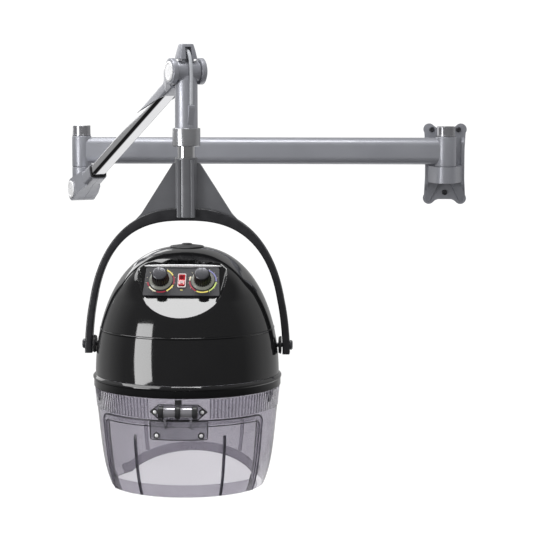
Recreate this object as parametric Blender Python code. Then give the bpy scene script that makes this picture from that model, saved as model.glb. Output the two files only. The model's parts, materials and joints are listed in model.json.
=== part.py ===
"""Wall-mounted hood hair dryer: bracket, swinging arm, balanced lift arm, swivelling yoke and tilting hood.

Frame: origin at the centre of the wall bracket's back face, +Y into the wall, +Z up, +X to the
right for someone facing the wall. Units are metres. Every moving group hangs on an empty whose
origin lies on the group's joint axis, and its pieces are modelled in that empty's frame.
"""
import math

import bmesh
import bpy
from mathutils import Matrix, Vector

GAP = 0.0003  # air between touching pieces
LARGE, MEDIUM, SMALL = 20, 14, 8  # flats round a tube, a spindle and a screw
HOOD_SEGMENTS = 40

# wall bracket
PLATE_WIDTH, PLATE_HEIGHT, PLATE_BASE = 0.097, 0.181, 0.010
PLATE_RIM_DEPTH, PLATE_RIM_WIDTH = 0.024, 0.007
WALL_AXIS_Y = -0.063
BOSS_TOP, BOSS_BOTTOM, BOSS_WIDTH, BOSS_RADIUS = -0.0035, -0.040, 0.077, 0.0245
SPINDLE_RADIUS, BUSH_WALL = 0.011, 0.0027
SCREW_PLACES = ((-0.0297, 0.0772), (0.0297, 0.0772), (0.0, -0.064))

# horizontal arm: an oval tube between two upright sleeves
ARM_LENGTH, ARM_Z = 0.814, 0.031
ARM_HEIGHT, ARM_DEPTH, ARM_WALL = 0.0595, 0.037, 0.002
WALL_SLEEVE_RADIUS, WALL_SLEEVE_BOTTOM, WALL_SLEEVE_TOP = 0.023, -0.003, 0.0625
ELBOW_SLEEVE_RADIUS, ELBOW_SLEEVE_BOTTOM, ELBOW_SLEEVE_TOP = 0.0215, -0.0055, 0.0635
CAP_HEIGHT = 0.020

# elbow and lift arm
ELBOW_X = -ARM_LENGTH
ELBOW_HEADING = math.radians(-63.0)  # which way the lift arm points, seen from above
LIFT_REST = math.radians(22.5)  # how far the lift arm rises above level
LIFT_Z = -0.056
LIFT_LENGTH = 0.694
LINK_DROP = 0.0084  # the levelling rod's pins lie this far under the arm's pins
ELBOW_DRUM_RADIUS, ELBOW_DRUM_HALF = 0.020, 0.016
ELBOW_CHEEK_RADIUS, ELBOW_CHEEK_WALL = 0.025, 0.0085
SOCKET_START, SOCKET_END, SOCKET_WIDTH, SOCKET_HEIGHT = 0.050, 0.118, 0.038, 0.034
LIFT_TUBE_START, LIFT_TUBE_END = 0.088, LIFT_LENGTH - 0.056
SPRING_START, SPRING_END, SPRING_TURNS = 0.156, LIFT_TUBE_END - 0.080, 18
LIFT_TUBE_WIDTH, LIFT_TUBE_HEIGHT, LIFT_TUBE_WALL = 0.031, 0.023, 0.0015
HEAD_BLOCK_START, HEAD_BLOCK_END = LIFT_LENGTH - 0.078, LIFT_LENGTH - 0.050
TONGUE_START, TONGUE_MIDDLE = LIFT_LENGTH - 0.255, LIFT_LENGTH - 0.150

# head: knuckle drum, upright tube, collar and rod
KNUCKLE_DRUM_RADIUS, KNUCKLE_DRUM_HALF = 0.020, 0.024
KNUCKLE_CHEEK_RADIUS, KNUCKLE_CHEEK_WALL = 0.0255, 0.010
ELBOW_PIN_RADIUS, KNUCKLE_PIN_RADIUS, LINK_PIN_RADIUS, LINK_EYE_RADIUS = 0.0045, 0.0048, 0.002, 0.0033
HEAD_TUBE_RADIUS, HEAD_TUBE_BOTTOM = 0.022, -0.111
COLLAR_RADIUS, COLLAR_BOTTOM = 0.027, -0.144
ROD_RADIUS, ROD_TOP = 0.0175, -0.060
COVER_BOTTOM, COVER_TOP = 0.0235, 0.0525
CABLE_RADIUS = 0.0034

# yoke
YOKE_TOP = -0.166  # below the knuckle's pin
YOKE_COLUMN_RADIUS, YOKE_COLUMN_LENGTH = 0.0222, 0.116
YOKE_ARM_DEPTH, YOKE_WEB_DEPTH = 0.026, 0.011
YOKE_OUTER = (0.1955, 0.268, 2.4)  # half span, rise above the tilt axis and power of the superellipse
YOKE_INNER = (0.1815, 0.243, 2.6)
YOKE_SPLAY, YOKE_SPLAY_HEIGHT = 0.005, 0.090  # how far the arms' feet lean out, and from what height
YOKE_FOOT = -0.017
TILT_DROP = 0.531  # tilt axis below the knuckle's pin
TILT_HUB_RADIUS = 0.018

# hood, heights from the tilt axis
HOOD_RADIUS, HOOD_TOP, HOOD_SEAM, HOOD_BOTTOM = 0.179, 0.193, 0.036, -0.0535
HOOD_WALL = 0.003
RIM_RADIUS, RIM_TOP, RIM_BOTTOM = 0.184, -0.054, -0.077
SKIRT_TOP, SKIRT_BOTTOM, SKIRT_WALL = -0.0645, -0.272, 0.0025
PANEL_TILT = math.radians(38.0)  # how far the panel's face looks up
PANEL_TOP = Vector((0, -0.080, 0.164))
PANEL_BOTTOM = Vector((0, -0.1234, 0.1085))
RECESS_HALF_WIDTH, SILL_SLOPE = 0.079, math.radians(43.8)
PANEL_WIDTH, PANEL_THICK = 0.146, 0.003
KNOB_X, KNOB_HEIGHT = 0.040, 0.030
VISOR_ANGLE = math.radians(58.0)
VISOR_TOP, VISOR_BOTTOM = -0.118, -0.271
VISOR_WALL, VISOR_CLEARANCE = 0.0025, 0.0012
HINGE_Z, HINGE_Y = -0.101, -0.1895

PAINT_GREY = ("paint_grey", (0.42, 0.43, 0.46), 0.35, 0.6)
PAINT_DARK = ("paint_dark", (0.10, 0.10, 0.11), 0.45, 0.3)
CHROME = ("chrome", (0.85, 0.85, 0.87), 0.08, 1.0)
STEEL = ("steel", (0.55, 0.55, 0.57), 0.30, 1.0)
BLACK_GLOSS = ("black_gloss", (0.012, 0.012, 0.014), 0.08, 0.0)
BLACK_MATT = ("black_matt", (0.03, 0.03, 0.03), 0.55, 0.0)
SMOKED = ("smoked_clear", (0.55, 0.50, 0.58), 0.05, 0.0)
BRASS = ("brass", (0.70, 0.52, 0.22), 0.35, 1.0)
RED = ("red_plastic", (0.70, 0.03, 0.03), 0.30, 0.0)
WHITE = ("white_plastic", (0.85, 0.83, 0.80), 0.35, 0.0)
ALUMINIUM = ("aluminium", (0.75, 0.76, 0.78), 0.35, 1.0)
RUBBER = ("rubber", (0.02, 0.02, 0.02), 0.80, 0.0)
CABLE_GREY = ("cable_grey", (0.55, 0.56, 0.58), 0.50, 0.0)


def material(look):
    """The shared Principled material for a (name, colour, roughness, metallic) look."""
    name, colour, roughness, metallic = look
    found = bpy.data.materials.get(name)
    if found:
        return found
    made = bpy.data.materials.new(name)
    made.use_nodes = True
    shader = made.node_tree.nodes["Principled BSDF"]
    shader.inputs["Base Color"].default_value = (*colour, 1.0)
    shader.inputs["Roughness"].default_value = roughness
    shader.inputs["Metallic"].default_value = metallic
    return made


def frame_empty(name, parent=None, location=(0, 0, 0), rotation=(0, 0, 0)):
    """An empty that carries one moving group."""
    empty = bpy.data.objects.new(name, None)
    bpy.context.scene.collection.objects.link(empty)
    empty.parent = parent
    empty.location = location
    empty.rotation_euler = rotation
    return empty


def add_object(name, bm, parent, look, at=(0, 0, 0), turn=(0, 0, 0), smooth=35):
    """Turn a bmesh into a named object at a place in its group's frame."""
    bmesh.ops.remove_doubles(bm, verts=bm.verts, dist=1e-6)
    bmesh.ops.recalc_face_normals(bm, faces=bm.faces)
    mesh = bpy.data.meshes.new(name)
    bm.to_mesh(mesh)
    bm.free()
    mesh.materials.append(material(look))
    mesh.shade_smooth()
    mesh.set_sharp_from_angle(angle=math.radians(smooth))
    obj = bpy.data.objects.new(name, mesh)
    bpy.context.scene.collection.objects.link(obj)
    obj.parent = parent
    obj.location = at
    obj.rotation_euler = turn
    return obj


def bridge_rings(bm, rings, closed_along=False):
    """Join rings of vertices with quads; a ring of one vertex is a pole."""
    pairs = list(zip(rings, rings[1:]))
    if closed_along:
        pairs.append((rings[-1], rings[0]))
    for low, high in pairs:
        count = max(len(low), len(high))
        for i in range(count):
            j = (i + 1) % count
            corners = [low[i % len(low)], low[j % len(low)], high[j % len(high)], high[i % len(high)]]
            corners = list(dict.fromkeys(corners))
            if len(corners) > 2:
                bm.faces.new(corners)


def turned(profile, segments=MEDIUM, hollow=False):
    """A solid turned about Z from (radius, z) points; hollow profiles close on themselves."""
    bm = bmesh.new()
    rings = []
    for radius, z in profile:
        if radius < 1e-6:
            rings.append([bm.verts.new((0, 0, z))])
            continue
        angles = [2 * math.pi * i / segments for i in range(segments)]
        rings.append([bm.verts.new((radius * math.cos(a), radius * math.sin(a), z)) for a in angles])
    bridge_rings(bm, rings, closed_along=hollow)
    if not hollow:
        for ring in (rings[0], rings[-1]):
            if len(ring) > 2:
                bm.faces.new(ring)
    return bm


def turned_y(profile, segments=MEDIUM, hollow=False):
    """The same, turned about Y: the profile's z runs along Y."""
    bm = turned(profile, segments, hollow)
    bmesh.ops.rotate(bm, verts=bm.verts, matrix=Matrix.Rotation(math.radians(-90), 3, "X"))
    return bm


def turned_x(profile, segments=MEDIUM, hollow=False):
    """The same, turned about X: the profile's z runs along X."""
    bm = turned(profile, segments, hollow)
    bmesh.ops.rotate(bm, verts=bm.verts, matrix=Matrix.Rotation(math.radians(90), 3, "Y"))
    return bm


def rod_profile(radius, start, end, chamfer=0.0008):
    """The profile of a plain round bar with chamfered ends."""
    return [(0, start), (radius - chamfer, start), (radius, start + chamfer),
            (radius, end - chamfer), (radius - chamfer, end), (0, end)]


def ring_profile(inner, outer, start, end):
    """The closed profile of a plain ring."""
    return [(inner, start), (outer, start), (outer, end), (inner, end)]


def rounded_section(width, height, corner, steps=3):
    """Points of a rounded rectangle about the origin, anticlockwise."""
    points = []
    centres = [(1, 1, 0), (-1, 1, 90), (-1, -1, 180), (1, -1, 270)]
    for side_x, side_y, start in centres:
        for i in range(steps + 1):
            angle = math.radians(start + 90 * i / steps)
            points.append((side_x * (width / 2 - corner) + corner * math.cos(angle),
                           side_y * (height / 2 - corner) + corner * math.sin(angle)))
    return points


def lofted_x(stations):
    """A solid lofted along X through (x, [(y, z), ...]) sections with equal point counts."""
    bm = bmesh.new()
    rings = [[bm.verts.new((x, y, z)) for y, z in section] for x, section in stations]
    bridge_rings(bm, rings)
    bm.faces.new(rings[0])
    bm.faces.new(rings[-1])
    return bm


def tube_x(outer, inner, start, end):
    """A straight tube along X between two section outlines."""
    bm = bmesh.new()
    rings = []
    for x, section in ((start, outer), (end, outer), (end, inner), (start, inner)):
        rings.append([bm.verts.new((x, y, z)) for y, z in section])
    bridge_rings(bm, rings, closed_along=True)
    return bm


def prism(outline, low, high, axis="Y"):
    """An outline extruded along an axis. The outline is in the two remaining axes, in order."""
    bm = bmesh.new()
    place = {"X": lambda a, b, c: (c, a, b), "Y": lambda a, b, c: (a, c, b), "Z": lambda a, b, c: (a, b, c)}
    rings = [[bm.verts.new(place[axis](a, b, c)) for a, b in outline] for c in (low, high)]
    bridge_rings(bm, rings)
    bm.faces.new(rings[0])
    bm.faces.new(rings[1])
    return bm


def block(low, high):
    """An axis-aligned box between two corners."""
    outline = [(low[0], low[1]), (high[0], low[1]), (high[0], high[1]), (low[0], high[1])]
    return prism(outline, low[2], high[2], "Z")


def cut(obj, *cutters, operation="DIFFERENCE"):
    """Boolean an object with hidden helper solids in the same frame, in order."""
    for bm in cutters:
        guide = add_object(f"{obj.name}_guide", bm, obj.parent, BLACK_MATT, obj.location, obj.rotation_euler)
        guide.hide_render = True
        guide.display_type = "WIRE"
        modifier = obj.modifiers.new("Shape", "BOOLEAN")
        modifier.operation = operation
        modifier.solver = "EXACT"
        modifier.object = guide
    return obj


def join(obj, *solids):
    """Boolean union with helper solids."""
    return cut(obj, *solids, operation="UNION")


# ---------------------------------------------------------------- wall bracket


def plate_outline():
    """The bracket's face: a tall plate with a flared lobe at each corner."""
    half_w, half_h = PLATE_WIDTH / 2, PLATE_HEIGHT / 2
    lobe = 0.013
    points = []
    for side_x, side_z, start in ((1, 1, -35), (-1, 1, 55), (-1, -1, 145), (1, -1, 235)):
        for i in range(7):
            angle = math.radians(start + 160 * i / 6)
            points.append((side_x * (half_w - lobe) + lobe * math.cos(angle),
                           side_z * (half_h - lobe) + lobe * math.sin(angle)))
        if side_x == side_z:
            points += [(side_x * 0.016, side_z * (half_h - 0.010)),
                       (-side_x * 0.016, side_z * (half_h - 0.010))]
        else:
            points += [(side_x * (half_w - 0.004), side_z * 0.025),
                       (side_x * (half_w - 0.004), -side_z * 0.025)]
    return points


def make_wall_bracket(wall):
    """Cast plate, its two side rims, the spindle boss and three screws."""
    plate = add_object("wall_bracket", prism(plate_outline(), -PLATE_BASE, 0.0, "Y"), wall, PAINT_GREY)
    rims = []
    for side in (-1, 1):
        outer = side * (PLATE_WIDTH / 2 - 0.005)
        inner = outer - side * PLATE_RIM_WIDTH
        low, high = min(inner, outer), max(inner, outer)
        rims.append(prism([(-PLATE_BASE + 0.004, -0.062), (-PLATE_RIM_DEPTH, -0.050),
                           (-PLATE_RIM_DEPTH, 0.050), (-PLATE_BASE + 0.004, 0.064)], low, high, "X"))
    half = BOSS_WIDTH / 2
    steps = [math.radians(a) for a in range(200, 341, 20)]
    nose = [(BOSS_RADIUS * math.cos(a), WALL_AXIS_Y + BOSS_RADIUS * math.sin(a)) for a in steps]
    boss_outline = [(-half, -0.004), (-half, -0.030), *nose, (half, -0.030), (half, -0.004)]
    boss = prism(boss_outline, BOSS_BOTTOM, BOSS_TOP, "Z")
    join(plate, *rims, boss)
    bore = turned(rod_profile(SPINDLE_RADIUS + GAP, BOSS_BOTTOM + 0.006, BOSS_TOP + 0.01, 0))
    bmesh.ops.translate(bore, verts=bore.verts, vec=(0, WALL_AXIS_Y, 0))
    screw_holes = []
    for x, z in SCREW_PLACES:
        hole = turned_y(rod_profile(0.0033, -0.03, 0.01, 0), SMALL)
        bmesh.ops.translate(hole, verts=hole.verts, vec=(x, 0, z))
        screw_holes.append(hole)
    cut(plate, bore, *screw_holes)
    for number, (x, z) in enumerate(SCREW_PLACES, 1):
        head = PLATE_BASE + GAP
        profile = [(0, -0.0005), (0.0028, -0.0005), (0.0028, head), (0.0058, head), (0.0062, head + 0.001),
                   (0.0052, head + 0.0038), (0.003, head + 0.0045), (0.0026, head + 0.0025),
                   (0, head + 0.0025)]
        profile = [(r, -z_along) for r, z_along in profile]
        add_object(f"wall_screw_{number}", turned_y(profile, SMALL), wall, STEEL, (x, 0, z))


def make_spindle(name, frame, bottom, top, cap_radius, look):
    """An upright spindle and the cap on its upper end."""
    add_object(name, turned(rod_profile(SPINDLE_RADIUS, bottom, top + 0.008)), frame, STEEL)
    cap_top = top + CAP_HEIGHT
    profile = [(0, top + 0.0085), (SPINDLE_RADIUS + GAP, top + 0.0085), (SPINDLE_RADIUS + GAP, top + GAP),
               (cap_radius, top + GAP), (cap_radius, cap_top - 0.0015), (cap_radius - 0.0015, cap_top),
               (0, cap_top + 0.0005)]
    add_object(f"{name}_cap", turned(profile, LARGE), frame, look)


def make_horizontal_arm(arm):
    """Oval tube with a sleeve at each end, a way through for the wiring, and the sleeves' bearing bushes."""
    oval = rounded_section(ARM_DEPTH, ARM_HEIGHT, ARM_DEPTH / 2 - 0.0005, 4)
    inner = rounded_section(ARM_DEPTH - 2 * ARM_WALL, ARM_HEIGHT - 2 * ARM_WALL,
                            ARM_DEPTH / 2 - ARM_WALL - 0.0005, 4)
    tube = tube_x(oval, inner, ELBOW_X + 0.012, -0.012)
    bmesh.ops.translate(tube, verts=tube.verts, vec=(0, 0, ARM_Z))
    body = add_object("horizontal_arm", tube, arm, PAINT_GREY)
    bore = SPINDLE_RADIUS + GAP + BUSH_WALL + GAP
    sleeves = []
    cores = []
    for x, radius, low, high in ((0.0, WALL_SLEEVE_RADIUS, WALL_SLEEVE_BOTTOM, WALL_SLEEVE_TOP),
                                 (ELBOW_X, ELBOW_SLEEVE_RADIUS, ELBOW_SLEEVE_BOTTOM, ELBOW_SLEEVE_TOP)):
        sleeve = turned(rod_profile(radius, low, high, 0.0012), LARGE)
        core = turned(rod_profile(bore, low - 0.01, high + 0.01, 0), MEDIUM)
        for solid in (sleeve, core):
            bmesh.ops.translate(solid, verts=solid.verts, vec=(x, 0, 0))
        sleeves.append(sleeve)
        cores.append(core)
    passage = turned_x(rod_profile(0.005, ELBOW_X + 0.004, -0.004, 0), SMALL)
    bmesh.ops.translate(passage, verts=passage.verts, vec=(0, 0, ARM_Z))
    join(body, *sleeves)
    cut(body, *cores, passage)
    for name, x, low, high in (("wall_bush", 0.0, WALL_SLEEVE_BOTTOM, WALL_SLEEVE_TOP),
                               ("elbow_bush", ELBOW_X, ELBOW_SLEEVE_BOTTOM, ELBOW_SLEEVE_TOP)):
        ring = ring_profile(SPINDLE_RADIUS + GAP, bore - GAP, low + 0.001, high - 0.001)
        add_object(name, turned(ring, MEDIUM, hollow=True), arm, WHITE, (x, 0, 0))


# ---------------------------------------------------------------- elbow and lift arm


def make_elbow(elbow):
    """The casting under the arm's far sleeve, which carries the lift arm's pin."""
    neck_top = ELBOW_SLEEVE_BOTTOM - GAP
    neck_bottom = LIFT_Z + ELBOW_CHEEK_RADIUS + 0.0015
    neck = turned(rod_profile(ELBOW_SLEEVE_RADIUS, neck_bottom, neck_top, 0.001), LARGE)
    casting = add_object("elbow_casting", neck, elbow, PAINT_GREY)
    angles = [math.radians(180 + 18 * i) for i in range(11)]
    tongue = [(ELBOW_DRUM_RADIUS * math.cos(a), LIFT_Z + ELBOW_DRUM_RADIUS * math.sin(a)) for a in angles]
    tongue += [(ELBOW_DRUM_RADIUS, LIFT_Z + 0.010), (0.013, neck_bottom + 0.003),
               (-0.013, neck_bottom + 0.003), (-ELBOW_DRUM_RADIUS, LIFT_Z + 0.010)]
    join(casting, prism(tongue, -ELBOW_DRUM_HALF, ELBOW_DRUM_HALF, "Y"))
    pin_bore = turned_y(rod_profile(ELBOW_PIN_RADIUS + GAP, -0.03, 0.03, 0), MEDIUM)
    link_bore = turned_y(rod_profile(LINK_PIN_RADIUS + GAP, -0.0122, 0.0122, 0), SMALL)
    bmesh.ops.translate(pin_bore, verts=pin_bore.verts, vec=(0, 0, LIFT_Z))
    bmesh.ops.translate(link_bore, verts=link_bore.verts, vec=(0, 0, LIFT_Z - LINK_DROP))
    spindle_bore = turned(rod_profile(SPINDLE_RADIUS + GAP, -0.022, 0.01, 0), MEDIUM)
    slot = block((-0.007, -0.0047, LIFT_Z - 0.03), (0.04, 0.0047, LIFT_Z + 0.0145))
    cut(casting, pin_bore, link_bore, spindle_bore, slot)
    make_spindle("elbow_spindle", elbow, -0.0215, ELBOW_SLEEVE_TOP, 0.0205, PAINT_DARK)


def make_pin_and_caps(prefix, frame, radius, half, cap_radius):
    """A cross pin with a broad head on its right end, and the polished disc that closes its left end."""
    head = [(cap_radius, half + GAP), (cap_radius, half + 0.0020), (cap_radius - 0.0012, half + 0.0032),
            (0, half + 0.0036)]
    shank = [(0, -half + 0.001), (radius, -half + 0.001), (radius, half + GAP)]
    add_object(f"{prefix}_pin", turned_y(shank + head, MEDIUM), frame, STEEL)
    disc = [(r, -y) for r, y in [(0, half + GAP), *head]]
    add_object(f"{prefix}_disc", turned_y(disc, LARGE), frame, CHROME)


def make_socket(lift):
    """Two clamshell halves that hold the lift tube's lower end and straddle the elbow's drum."""
    inner_y = ELBOW_DRUM_HALF + 0.0005
    outer_y = inner_y + ELBOW_CHEEK_WALL
    outer = rounded_section(SOCKET_WIDTH, SOCKET_HEIGHT, 0.008)
    slim = rounded_section(SOCKET_WIDTH, SOCKET_HEIGHT - 0.010, 0.007)
    seat = rounded_section(LIFT_TUBE_WIDTH + 2 * GAP, LIFT_TUBE_HEIGHT + 2 * GAP, 0.006)
    channel = rounded_section(LIFT_TUBE_WIDTH - 0.007, LIFT_TUBE_HEIGHT - 0.003, 0.004)
    for side, word in ((-1, "left"), (1, "right")):
        shell = lofted_x([(SOCKET_START, slim), (SOCKET_START + 0.026, outer), (SOCKET_END, outer)])
        half = add_object(f"socket_{word}", shell, lift, PAINT_GREY)
        cheek = turned_y([(r, side * y) for r, y in rod_profile(ELBOW_CHEEK_RADIUS, inner_y, outer_y)], LARGE)
        bridge = prism([(0.0, side * inner_y), (0.0, side * outer_y), (0.030, side * outer_y),
                        (SOCKET_START + 0.012, side * (SOCKET_WIDTH / 2 - 0.0015)),
                        (SOCKET_START + 0.012, side * 0.010), (SOCKET_START, side * 0.010),
                        (0.036, side * inner_y)], -0.012, 0.012, "Z")
        join(half, cheek, bridge)
        cavity = lofted_x([(LIFT_TUBE_START - GAP, seat), (SOCKET_END + 0.01, seat)])
        passage = lofted_x([(SOCKET_START - 0.02, channel), (LIFT_TUBE_START + 0.01, channel)])
        pin_bore = turned_y(rod_profile(ELBOW_PIN_RADIUS + GAP, -0.05, 0.05, 0), MEDIUM)
        other_half = block((-0.05, -side * 0.05, -0.05), (0.20, side * GAP / 2, 0.05))
        cut(half, cavity, passage, pin_bore, other_half)
    ring_out = rounded_section(SOCKET_WIDTH - 0.001, SOCKET_HEIGHT - 0.001, 0.0075)
    add_object("socket_gasket", tube_x(ring_out, seat, SOCKET_END + GAP, SOCKET_END + 0.004), lift, RUBBER)
    return outer_y


def make_lift_tube(lift):
    """Bright lift tube with the counterbalance spring and its guide inside."""
    outer = rounded_section(LIFT_TUBE_WIDTH, LIFT_TUBE_HEIGHT, 0.0058)
    wall = 2 * LIFT_TUBE_WALL
    inner = rounded_section(LIFT_TUBE_WIDTH - wall, LIFT_TUBE_HEIGHT - wall, 0.004)
    add_object("lift_tube", tube_x(outer, inner, LIFT_TUBE_START, LIFT_TUBE_END), lift, CHROME)
    spring_z = 0.0026
    stop = SPRING_END + 0.0014
    guide = [(0, 0.096), (0.0022, 0.096), (0.0022, stop), (0.0062, stop), (0.0062, stop + 0.004),
             (0, stop + 0.004)]
    add_object("spring_guide", turned_x(guide, SMALL), lift, STEEL, (0, 0, spring_z))
    spring = coil_x(0.0046, 0.0010, SPRING_START, SPRING_END, SPRING_TURNS)
    add_object("balance_spring", spring, lift, STEEL, (0, 0, spring_z))


def coil_x(radius, wire, start, end, turns, per_turn=7, sides=3):
    """A helical spring along X."""
    bm = bmesh.new()
    rings = []
    count = turns * per_turn
    for i in range(count + 1):
        share = i / count
        angle = 2 * math.pi * turns * share
        x = start + (end - start) * share
        centre = Vector((x, radius * math.cos(angle), radius * math.sin(angle)))
        outward = Vector((0, math.cos(angle), math.sin(angle)))
        ring = []
        for k in range(sides):
            around = 2 * math.pi * k / sides
            ring.append(bm.verts.new(centre + wire * (math.cos(around) * outward + Vector((math.sin(around),
                                                                                           0, 0)))))
        rings.append(ring)
    bridge_rings(bm, rings)
    bm.faces.new(rings[0])
    bm.faces.new(rings[-1])
    return bm


def make_arm_head(lift):
    """The casting on the lift tube's upper end: a long tongue and the knuckle's two cheeks."""
    inner_y = KNUCKLE_DRUM_HALF + 0.0005
    outer_y = inner_y + KNUCKLE_CHEEK_WALL
    outer = rounded_section(SOCKET_WIDTH, SOCKET_HEIGHT - 0.004, 0.008)
    seat = rounded_section(LIFT_TUBE_WIDTH + 2 * GAP, LIFT_TUBE_HEIGHT + 2 * GAP, 0.006)
    channel = rounded_section(LIFT_TUBE_WIDTH - 0.007, LIFT_TUBE_HEIGHT - 0.003, 0.004)
    casting = add_object("arm_head", lofted_x([(HEAD_BLOCK_START, outer), (HEAD_BLOCK_END, outer)]), lift,
                         PAINT_GREY)
    top = LIFT_TUBE_HEIGHT / 2 + GAP
    tongue = bmesh.new()
    rings = []
    for x, half, rise in ((TONGUE_START, 0.004, 0.0012), (TONGUE_MIDDLE, 0.0085, 0.0025),
                          (HEAD_BLOCK_START + 0.004, 0.0145, 0.0036)):
        section = [(-half, top), (half, top), (half * 0.7, top + rise), (-half * 0.7, top + rise)]
        rings.append([tongue.verts.new((x, y, z)) for y, z in section])
    bridge_rings(tongue, rings)
    tongue.faces.new(rings[0])
    tongue.faces.new(rings[-1])
    join(casting, tongue)
    for side in (-1, 1):
        profile = rod_profile(KNUCKLE_CHEEK_RADIUS, inner_y, outer_y)
        cheek = turned_y([(r, side * y) for r, y in profile], LARGE)
        bmesh.ops.translate(cheek, verts=cheek.verts, vec=(LIFT_LENGTH, 0, 0))
        bridge = prism([(HEAD_BLOCK_START + 0.004, side * 0.0155), (HEAD_BLOCK_START + 0.004, side * 0.0185),
                        (LIFT_LENGTH - 0.028, side * outer_y), (LIFT_LENGTH, side * outer_y),
                        (LIFT_LENGTH, side * inner_y), (LIFT_LENGTH - 0.032, side * inner_y),
                        (HEAD_BLOCK_END - 0.002, side * 0.0155)], -0.013, 0.013, "Z")
        join(casting, cheek, bridge)
    cavity = lofted_x([(HEAD_BLOCK_START - 0.01, seat), (LIFT_TUBE_END + GAP, seat)])
    passage = lofted_x([(LIFT_TUBE_END - 0.01, channel), (HEAD_BLOCK_END + 0.02, channel)])
    pin_bore = turned_y(rod_profile(KNUCKLE_PIN_RADIUS + GAP, -0.05, 0.05, 0), MEDIUM)
    bmesh.ops.translate(pin_bore, verts=pin_bore.verts, vec=(LIFT_LENGTH, 0, 0))
    cut(casting, cavity, passage, pin_bore)
    return outer_y


def make_levelling_rod(link):
    """The flat rod that runs parallel to the lift tube and keeps the head upright."""
    half = 0.0042
    eye = turned_y(rod_profile(LINK_EYE_RADIUS, -half, half, 0.0003), SMALL)
    bar = block((0, -half, -0.0014), (LIFT_LENGTH, half, 0.0014))
    far_eye = turned_y(rod_profile(LINK_EYE_RADIUS, -half, half, 0.0003), SMALL)
    bmesh.ops.translate(far_eye, verts=far_eye.verts, vec=(LIFT_LENGTH, 0, 0))
    rod = add_object("levelling_rod", bar, link, STEEL)
    join(rod, eye, far_eye)
    holes = []
    for x in (0.0, LIFT_LENGTH):
        hole = turned_y(rod_profile(LINK_PIN_RADIUS + GAP, -0.01, 0.01, 0), SMALL)
        bmesh.ops.translate(hole, verts=hole.verts, vec=(x, 0, 0))
        holes.append(hole)
    cut(rod, *holes)


def make_link_pin(name, frame, height):
    """A short pin for one end of the levelling rod."""
    add_object(name, turned_y(rod_profile(LINK_PIN_RADIUS, -0.012, 0.012, 0.0003), SMALL), frame, STEEL,
               (0, 0, height))


# ---------------------------------------------------------------- head


def make_head(head):
    """Knuckle drum and upright tube, in one casting, with the cover and collar."""
    tube = turned([(0, -0.004), (HEAD_TUBE_RADIUS * 0.8, -0.004), (HEAD_TUBE_RADIUS, -0.016),
                   (HEAD_TUBE_RADIUS, HEAD_TUBE_BOTTOM), (0, HEAD_TUBE_BOTTOM)], 40)
    casting = add_object("head_tube", tube, head, PAINT_GREY)
    drum = turned_y(rod_profile(KNUCKLE_DRUM_RADIUS, -KNUCKLE_DRUM_HALF, KNUCKLE_DRUM_HALF), LARGE)
    join(casting, drum)
    pin_bore = turned_y(rod_profile(KNUCKLE_PIN_RADIUS + GAP, -0.04, 0.04, 0), MEDIUM)
    link_bore = turned_y(rod_profile(LINK_PIN_RADIUS + GAP, -0.0122, 0.0122, 0), SMALL)
    bmesh.ops.translate(link_bore, verts=link_bore.verts, vec=(0, 0, -LINK_DROP))
    slot = block((-0.04, -0.0047, -0.050), (0.0065, 0.0047, 0.0145))
    rod_bore = turned(rod_profile(ROD_RADIUS + GAP, HEAD_TUBE_BOTTOM - 0.01, ROD_TOP + GAP, 0), LARGE)
    gland_top = LEAD_ROUTE[-1].z - GAP
    gland = prism([(0.018, gland_top), (0.0305, gland_top), (0.0218, gland_top - 0.032),
                   (0.018, gland_top - 0.032)], -0.0055, 0.0055, "Y")
    join(casting, gland)
    cut(casting, pin_bore, link_bore, slot, rod_bore)
    make_collar(head)
    make_cover(head)


def make_collar(head):
    """The swivel collar clamped round the head tube's foot, over the yoke's rod."""
    step = HEAD_TUBE_BOTTOM + 0.002
    profile = [(HEAD_TUBE_RADIUS + GAP, step), (COLLAR_RADIUS - 0.001, step), (COLLAR_RADIUS, step - 0.001),
               (COLLAR_RADIUS, COLLAR_BOTTOM + 0.0015), (COLLAR_RADIUS - 0.0015, COLLAR_BOTTOM),
               (ROD_RADIUS + GAP, COLLAR_BOTTOM), (ROD_RADIUS + GAP, HEAD_TUBE_BOTTOM - GAP),
               (HEAD_TUBE_RADIUS + GAP, HEAD_TUBE_BOTTOM - GAP)]
    add_object("swivel_collar", turned(profile, LARGE, hollow=True), head, PAINT_GREY)


def make_cover(head):
    """The tapered cover over the knuckle, open in front where the lead comes out."""
    base = rounded_section(0.032, 0.036, 0.004, 3)
    top = rounded_section(0.021, 0.025, 0.003, 3)
    bm = bmesh.new()
    rings = []
    for section, z in ((base, COVER_BOTTOM), (top, COVER_TOP - 0.001),
                       (rounded_section(0.019, 0.023, 0.003, 3), COVER_TOP)):
        rings.append([bm.verts.new((x, y, z)) for x, y in section])
    bridge_rings(bm, rings)
    bm.faces.new(rings[0])
    bm.faces.new(rings[-1])
    cover = add_object("knuckle_cover", bm, head, PAINT_GREY)
    foot = block((-0.010, -0.012, 0.012), (0.010, 0.012, COVER_BOTTOM + 0.002))
    join(cover, foot)
    saddle = turned_y(rod_profile(KNUCKLE_DRUM_RADIUS + GAP, -0.04, 0.04, 0), LARGE)
    window = block((-0.002, -0.0062, COVER_BOTTOM - 0.02), (0.03, 0.0062, 0.047))
    cut(cover, saddle, window)


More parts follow.
